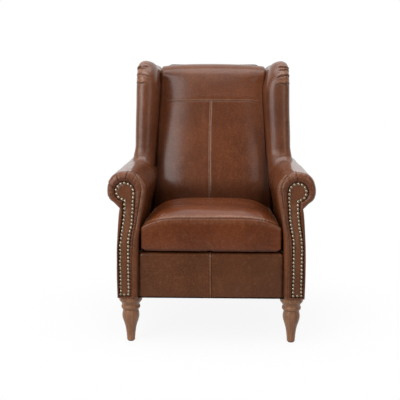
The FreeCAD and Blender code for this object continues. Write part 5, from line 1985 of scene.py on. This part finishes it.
    def build(self) -> None:
        """Builds the cushion, its seams and its stitching."""
        piece = self.start_shape()
        self.swell(piece)
        points = self.fit(self.squared(read(piece)))
        over = np.maximum(points[:, 2] - self.edge - 0.004, 0.0)
        points[:, 2] += over * ((self.crown - self.edge - 0.004) / over.max() - 1.0)
        place(piece, points)
        divide = piece.modifiers.new("fine", "SUBSURF")
        divide.levels = divide.render_levels = 1
        select_only(piece)
        bpy.ops.object.modifier_apply(modifier=divide.name)
        points = read(piece)
        normals = read(piece, "normal")
        points, wear, crease, seam = self.dress(points, normals)
        bowed = self.bowed(points)
        place(piece, bowed)
        store_masks(piece.data, {Mask.WEAR: wear, Mask.CREASE: crease})
        piece.data.shade_smooth()
        settle(piece, SEAT_HIDE, "cushion", ("seat_cushion_cover", "seat_foam"))
        self.sew(points, bowed, read(piece, "normal"), seam)

    def bowed(self, points: Array) -> Array:
        """Draws the top seam up in the middle and lets the top fall away towards the arms.

        Args:
            points: The cushion's vertices.

        Returns:
            The moved vertices.
        """
        made = points.copy()
        x, y, z = points.T
        outer = np.clip(np.abs(x) / self.half_width(y), 0.0, 1.0) ** 5
        up = self.lift * ramp(-0.17, -0.40, y) * (1.0 - outer)
        down = (self.fall + 0.004 * ramp(-0.10, 0.07, y)) * outer
        made[:, 2] += (up - down) * np.clip((z - 0.372) / (self.edge - 0.372), 0.0, 1.0)
        return made

    def border_top(self, x: Array) -> Array:
        """Height of the seam between the top panel and the border."""
        return 0.4775 - 0.0035 * hump(np.abs(x), 0.262, 0.02)

    def dress(self, points: Array, normals: Array) -> tuple[Array, Array, Array, Array]:
        """Adds the border's seams, their puckers, the sitting creases and the slack.

        Args:
            points: The cushion's vertices.
            normals: Their normals.

        Returns:
            The dressed vertices, their painted highlights, their painted crease shade and their distance from the top
            seam.
        """
        x, y, z = points.T
        outward = np.abs(normals[:, 2]) < 0.94
        around = np.maximum.reduce([
            ramp(self.front + 0.035, self.front + 0.012, y),
            ramp(self.rear - 0.035, self.rear - 0.012, y),
            ramp(0.045, 0.012, self.half_width(y) - np.abs(x)),
        ])
        top_seam = z - self.border_top(x)
        low_seam = z - self.low_seam
        amount = -self.seam_depth * hump(top_seam, 0.0, 0.0021) * around
        amount += 0.0008 * hump(np.abs(top_seam), 0.0085, 0.005) * around
        amount -= self.seam_depth * hump(low_seam, 0.0, 0.0022) * around * outward
        run = np.where(np.abs(x) < self.front_half - 0.02, x, y)
        tug = gathers(run, 0.0125, 1.5, 41.0)
        amount += 0.0006 * tug * np.exp(-np.abs(top_seam) / 0.009) * around
        amount += 0.0005 * tug * np.exp(-np.abs(low_seam) / 0.009) * around
        corner = hump(np.hypot(np.abs(x) - 0.255, y - self.front), 0.0, 0.016)
        tucked = hump(x, -0.004, 0.007) * hump(z, 0.364, 0.009)
        amount -= 0.0032 * tucked * (y < self.front + 0.03)
        amount += 0.0002 * wave(z, 0.019, self.seed) * corner
        top = ramp(0.478, 0.488, z)
        sat = wave(x * 0.35 + y, 0.075, 2.2 * ripple(points, 7.0, 21.0))
        amount += 0.0006 * sat * top * hump(x, 0.0, 0.17) * hump(y, -0.2, 0.14)
        amount += self.slack * ripple(points, 5.5, self.seed) * (0.4 + 0.6 * top)
        amount += 0.0006 * ripple(points, 27.0, self.seed + 1.0)
        # Painted shade in the top and bottom seams.
        crease = 0.9 * hump(top_seam, 0.0, 0.0014) * around
        crease += 0.8 * hump(low_seam, 0.0, 0.0016) * around * outward
        # Painted highlight: a pale band on the lip just above the top seam and another just below it.
        wear = 0.3 * hump(top_seam, 0.007, 0.005) * around
        wear += 0.25 * hump(top_seam, -0.010, 0.006) * around
        return points + normals * amount[:, None], wear, crease, top_seam

    def sew(self, points: Array, bowed: Array, normals: Array, seam: Array) -> None:
        """Topstitches the top panel just above the border's seam, along the front and both sides.

        Args:
            points: The cushion's vertices before the top was bowed.
            bowed: The same vertices in their places.
            normals: Their normals.
            seam: Their height above the top seam.
        """
        band = np.abs(seam - self.stitch_above) < 0.0075
        at, laid, up = points[band], bowed[band], normals[band]
        corner = 0.018
        side = [(float(self.half_width(y)), y) for y in np.linspace(self.rear - 0.03, self.front + corner, 110)]
        front = [(x, self.front) for x in np.linspace(-self.front_half + corner, self.front_half - corner, 150)]
        path = [(-x, y) for x, y in side] + front + side[::-1]
        line, normal = [], []
        for x, y in path:
            want = float(self.border_top(np.array(x))) + self.stitch_above
            away = np.hypot(at[:, 0] - x, at[:, 1] - y) + 2.5 * np.abs(at[:, 2] - want)
            spot, outward = nearest_mean(away, 5, 1e-4, laid, up)
            line.append(spot)
            normal.append(outward)
        line = np.array(line)
        for _ in range(4):
            line[1:-1] = (line[:-2] + 2 * line[1:-1] + line[2:]) / 4
        piece = bars_along("cushion_topstitch", line, np.array(normal), 0.0055, 0.0024, 0.0007)
        settle(piece, THREAD, "cushion")


@dataclass
class RailCover:
    """The hide over the front rail, lapped and stitched down its middle."""

    front: float = -0.405
    half: float = 0.2735
    top: float = 0.354
    round_top: float = 0.014
    depth: float = 0.060
    proudest: float = 0.0028
    lap_thickness: float = 0.0013
    lap_depth: float = 0.0018
    slack: float = 0.0017
    seed: float = 9.0

    def build(self) -> None:
        """Builds the cover and its stitching."""
        centre = (self.front + self.round_top, self.top - self.round_top)
        bend = arc(centre, self.round_top, 180.0, 90.0, 14)
        line = np.vstack([
            [(self.front + 0.006, LINES.underside)],
            [(self.front + 0.0006, LINES.underside + 0.0012)],
            [(self.front, LINES.underside + 0.004)],
            bend,
            [(self.front + self.depth, self.top - 0.0005)],
        ])
        line = resample(line, 96)
        side = np.linspace(0.03, 1.0, 110)
        across = np.concatenate([-side[::-1], np.linspace(-0.03, 0.03, 34)[1:-1], side])
        x, y, z = np.broadcast_arrays(across[None, :] * self.half, line[:, 0:1], line[:, 1:2])
        points = np.stack([x, y, z], axis=-1)
        inside = (0.0, -0.36, 0.27)
        normal = grid_normals(points, inside)
        to_end = self.half - np.abs(x)
        lap_x = x - 0.0005 - 0.0006 * np.sin(z * 37.0)
        amount = self.lap_thickness * ramp(0.0004, -0.0006, lap_x) * ramp(-0.05, -0.004, lap_x)
        amount -= self.lap_depth * hump(lap_x, 0.0012, 0.0011)
        amount -= 0.0008 * hump(lap_x, -0.0065, 0.0013)
        amount += 0.0007 * gathers(z, 0.0165, 1.3, 31.0) * np.exp(-np.abs(lap_x) / 0.010)
        amount -= 0.006 * np.exp(-to_end / 0.0045)
        upright = np.stack([x * 1.0, y * 0.2, z * 0.18], axis=-1)
        amount += 0.0013 * ripple(upright, 22.0, self.seed) * ramp(0.0, 0.02, to_end)
        amount += self.slack * ripple(points, 6.0, self.seed + 2.0)
        near_top = ramp(0.31, 0.35, z)
        amount += 0.0001 * gathers(x, 0.033, 2.0, 13.0) * near_top
        amount = np.minimum(amount, self.proudest)
        # Painted shade beside the lap, at both ends and along the bottom edge.
        crease = 0.85 * hump(lap_x, 0.0012, 0.0009) + 0.7 * np.exp(-to_end / 0.004)
        crease += 0.35 * np.exp(-(z - LINES.underside) / 0.004)
        # Painted highlight along the lap's edge.
        wear = 0.9 * hump(lap_x, -0.0012, 0.0013)
        points = points + normal * amount[..., None]
        piece = sheet_piece("front_rail_padding", points, inside, {Mask.WEAR: wear, Mask.CREASE: crease})
        settle(piece, SHADED_RAIL_HIDE, "chair", ("front_rail_cover", "front_edge_foam"))
        path = np.linspace((-0.0052, self.front - 0.0004, 0.186), (-0.0052, self.front - 0.0004, 0.338), 90)
        normals = np.tile(np.array([0.0, -1.0, 0.0]), (len(path), 1))
        settle(bars_along("rail_lap_stitch", path, normals, 0.0052, 0.0022, 0.0007), THREAD, "chair")


def select_only(piece: Piece) -> None:
    """Makes a piece the only selected and the active one.

    Args:
        piece: The piece.
    """
    bpy.ops.object.select_all(action="DESELECT")
    piece.select_set(True)
    bpy.context.view_layer.objects.active = piece


def read(piece: Piece, what: str = "co") -> Array:
    """A piece's vertices, or their normals, one a row.

    Args:
        piece: The piece.
        what: "co" for the places, "normal" for the normals.

    Returns:
        Three numbers a vertex.
    """
    flat = np.empty(len(piece.data.vertices) * 3)
    piece.data.vertices.foreach_get(what, flat)
    return flat.reshape(-1, 3)


def place(piece: Piece, points: Array) -> None:
    """Moves a piece's vertices."""
    piece.data.vertices.foreach_set("co", points.ravel())
    piece.data.update()


def soft_limit(value: Array, limit: object, softness: float, above: bool) -> Array:
    """Holds values on one side of a limit, easing into it.

    Args:
        value: The values.
        limit: The limit, one value or one each.
        softness: How early the easing starts.
        above: True where values may not rise above the limit, False where they may not fall below.

    Returns:
        The held values.
    """
    sign = 1.0 if above else -1.0
    room = sign * (np.asarray(limit) - value)
    held = np.where(room > softness, room, softness * np.exp(np.minimum(room - softness, 0.0) / softness))
    return np.asarray(limit) - sign * held


# ---------------------------------------------------------------- frame pieces and studio
def finish_frame() -> int:
    """Gives every CAD node that still shows, and every hidden one, its slot's procedural finish.

    Returns:
        How many nodes were finished.
    """
    slots = {part["node"]: part["material_slot"] for part in frame["record"]["subparts"]}
    for name, piece in frame["nodes"].items():
        SLOT_FINISHES[slots[name]].on(piece)
    return len(slots)


@dataclass(frozen=True)
class Softbox:
    """A rectangular studio lamp that faces a point."""

    name: str
    place: tuple
    target: tuple
    size: tuple
    watts: float

    def build(self) -> None:
        """Hangs the lamp."""
        light = bpy.data.lights.new(self.name, "AREA")
        light.shape = "RECTANGLE"
        light.size, light.size_y = self.size
        light.energy = self.watts
        lamp = linked(self.name, light)
        lamp.location = self.place
        lamp.rotation_euler = (Vector(self.target) - Vector(self.place)).to_track_quat("-Z", "Y").to_euler()


@dataclass(frozen=True)
class Studio:
    """White sweep, lamps and camera."""

    lamps: tuple = (
        Softbox("key", (-1.70, -2.90, 1.95), (0.0, 0.0, 0.8), (1.2, 2.9), 41.0),
        Softbox("side", (-2.40, -1.88, 1.60), (0.0, 0.0, 0.75), (1.4, 2.5), 24.0),
        Softbox("fill", (1.75, -2.9, 1.45), (0.0, 0.0, 0.75), (0.9, 2.4), 10.0),
        Softbox("overhead", (0.0, -0.1, 3.0), (0.0, 0.0, 0.6), (2.4, 1.2), 27.0),
        Softbox("overhead_front", (0.0, -1.32, 2.85), (0.0, 0.0, 0.6), (2.4, 1.2), 11.0),
    )
    ambient: float = 0.39
    dim: float = 0.03
    eye: tuple = (0.03, -3.40, 0.99)
    lens: float = 72.7
    yaw: float = 1.38
    pitch: float = 8.21
    roll: float = 0.12

    def camera(self) -> None:
        """Sets the camera before the chair, at the height of the wings, looking down a little."""
        data = bpy.data.cameras.new("camera")
        data.sensor_width = 36.0
        data.lens = self.lens
        data.clip_end = 60.0
        camera = linked("camera", data)
        turn = Matrix.Identity(3)
        for angle, axis in ((self.yaw, "Z"), (90.0 - self.pitch, "X"), (self.roll, "Z")):
            turn = turn @ Matrix.Rotation(math.radians(angle), 3, axis)
        camera.location = self.eye
        camera.rotation_euler = turn.to_euler()
        bpy.context.scene.camera = camera

    def world(self) -> None:
        """A white room for the eye and for reflections, and a dimmer one for diffuse light."""
        world = bpy.data.worlds.new("white_room")
        graph = empty_graph(world)
        path = graph.node("ShaderNodeLightPath").outputs
        seen = graph.math("MAXIMUM", path["Is Glossy Ray"], path["Is Transmission Ray"])
        way = graph.node("ShaderNodeSeparateXYZ", {0: graph.node("ShaderNodeTexCoord").outputs["Generated"]}).outputs
        sweep = graph.band(way[1], -0.25, 0.45, self.dim, 1.0)
        sweep = graph.math("MAXIMUM", sweep, graph.band(way[2], -0.36, -0.10, 0.48, 0.0))
        ambient = graph.times(graph.band(way[2], -0.3, 0.8, 0.8, 1.1), self.ambient)
        strength = graph.node("ShaderNodeMapRange", {"Value": seen, "To Min": ambient, "To Max": sweep}).outputs[0]
        strength = graph.math("MAXIMUM", strength, path["Is Camera Ray"])
        sky = graph.node("ShaderNodeBackground", {"Color": (1.0, 1.0, 1.0, 1.0), "Strength": strength})
        graph.node("ShaderNodeOutputWorld", {"Surface": sky.outputs[0]})
        bpy.context.scene.world = world

    def floor(self) -> None:
        """A plain pale floor that takes the chair's shadow."""
        material = bpy.data.materials.new("floor")
        graph = empty_graph(material)
        speck = graph.noise(graph.place(), 3.0)
        tone = graph.mix(graph.band(speck, 0.3, 0.7), (0.93, 0.93, 0.93, 1.0), (0.95, 0.95, 0.95, 1.0))
        away = graph.node("ShaderNodeVectorMath", {0: graph.place()}, operation="LENGTH").outputs["Value"]
        sockets = {"Base Color": tone, "Roughness": 0.9, "Specular IOR Level": 0.0}
        sockets["Alpha"] = graph.band(away, 0.3, 1.0, 0.10, 0.0)
        shader = graph.node("ShaderNodeBsdfPrincipled", sockets)
        graph.node("ShaderNodeOutputMaterial", {"Surface": shader.outputs[0]})
        xs = np.linspace(-9.0, 9.0, 9)
        grid = np.array([[(x, y, 0.0) for x in xs] for y in np.linspace(-4.0, 14.0, 9)])
        piece = sheet_piece("studio_floor", grid, (0.0, 0.0, -1.0))
        piece.data.materials.append(material)

    def build(self) -> None:
        """Sets the whole studio."""
        self.camera()
        self.world()
        self.floor()
        for lamp in self.lamps:
            lamp.build()
        bpy.context.scene.view_settings.view_transform = "Standard"


# ---------------------------------------------------------------- all together
def main() -> None:
    """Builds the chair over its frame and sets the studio."""
    logging.basicConfig(level=logging.INFO, format="%(message)s")
    Studio().build()
    LOG.info("finished %d frame pieces", finish_frame())
    Arm(Side.LEFT, ((-17.0, 0.6), (20.0, 0.9), (59.0, 1.0), (92.0, 1.0), (120.0, 0.6)), 1.0).build()
    Arm(Side.RIGHT, ((-12.0, 0.2), (26.0, 0.25), (58.0, 0.35), (90.0, 1.0), (121.0, 0.4)), 2.0).build()
    Wing(Side.LEFT, 3.0, stout=-0.002).build()
    pleats = ((0.989, 1.0), (1.024, 1.0), (1.052, 0.9), (1.072, 0.7), (1.088, 0.8))
    Wing(Side.RIGHT, 3.7, stout=0.012, pleats=pleats).build()
    InsideBack().build()
    OutsideBack().build()
    Cushion().build()
    RailCover().build()


if __name__ == "__main__":
    main()
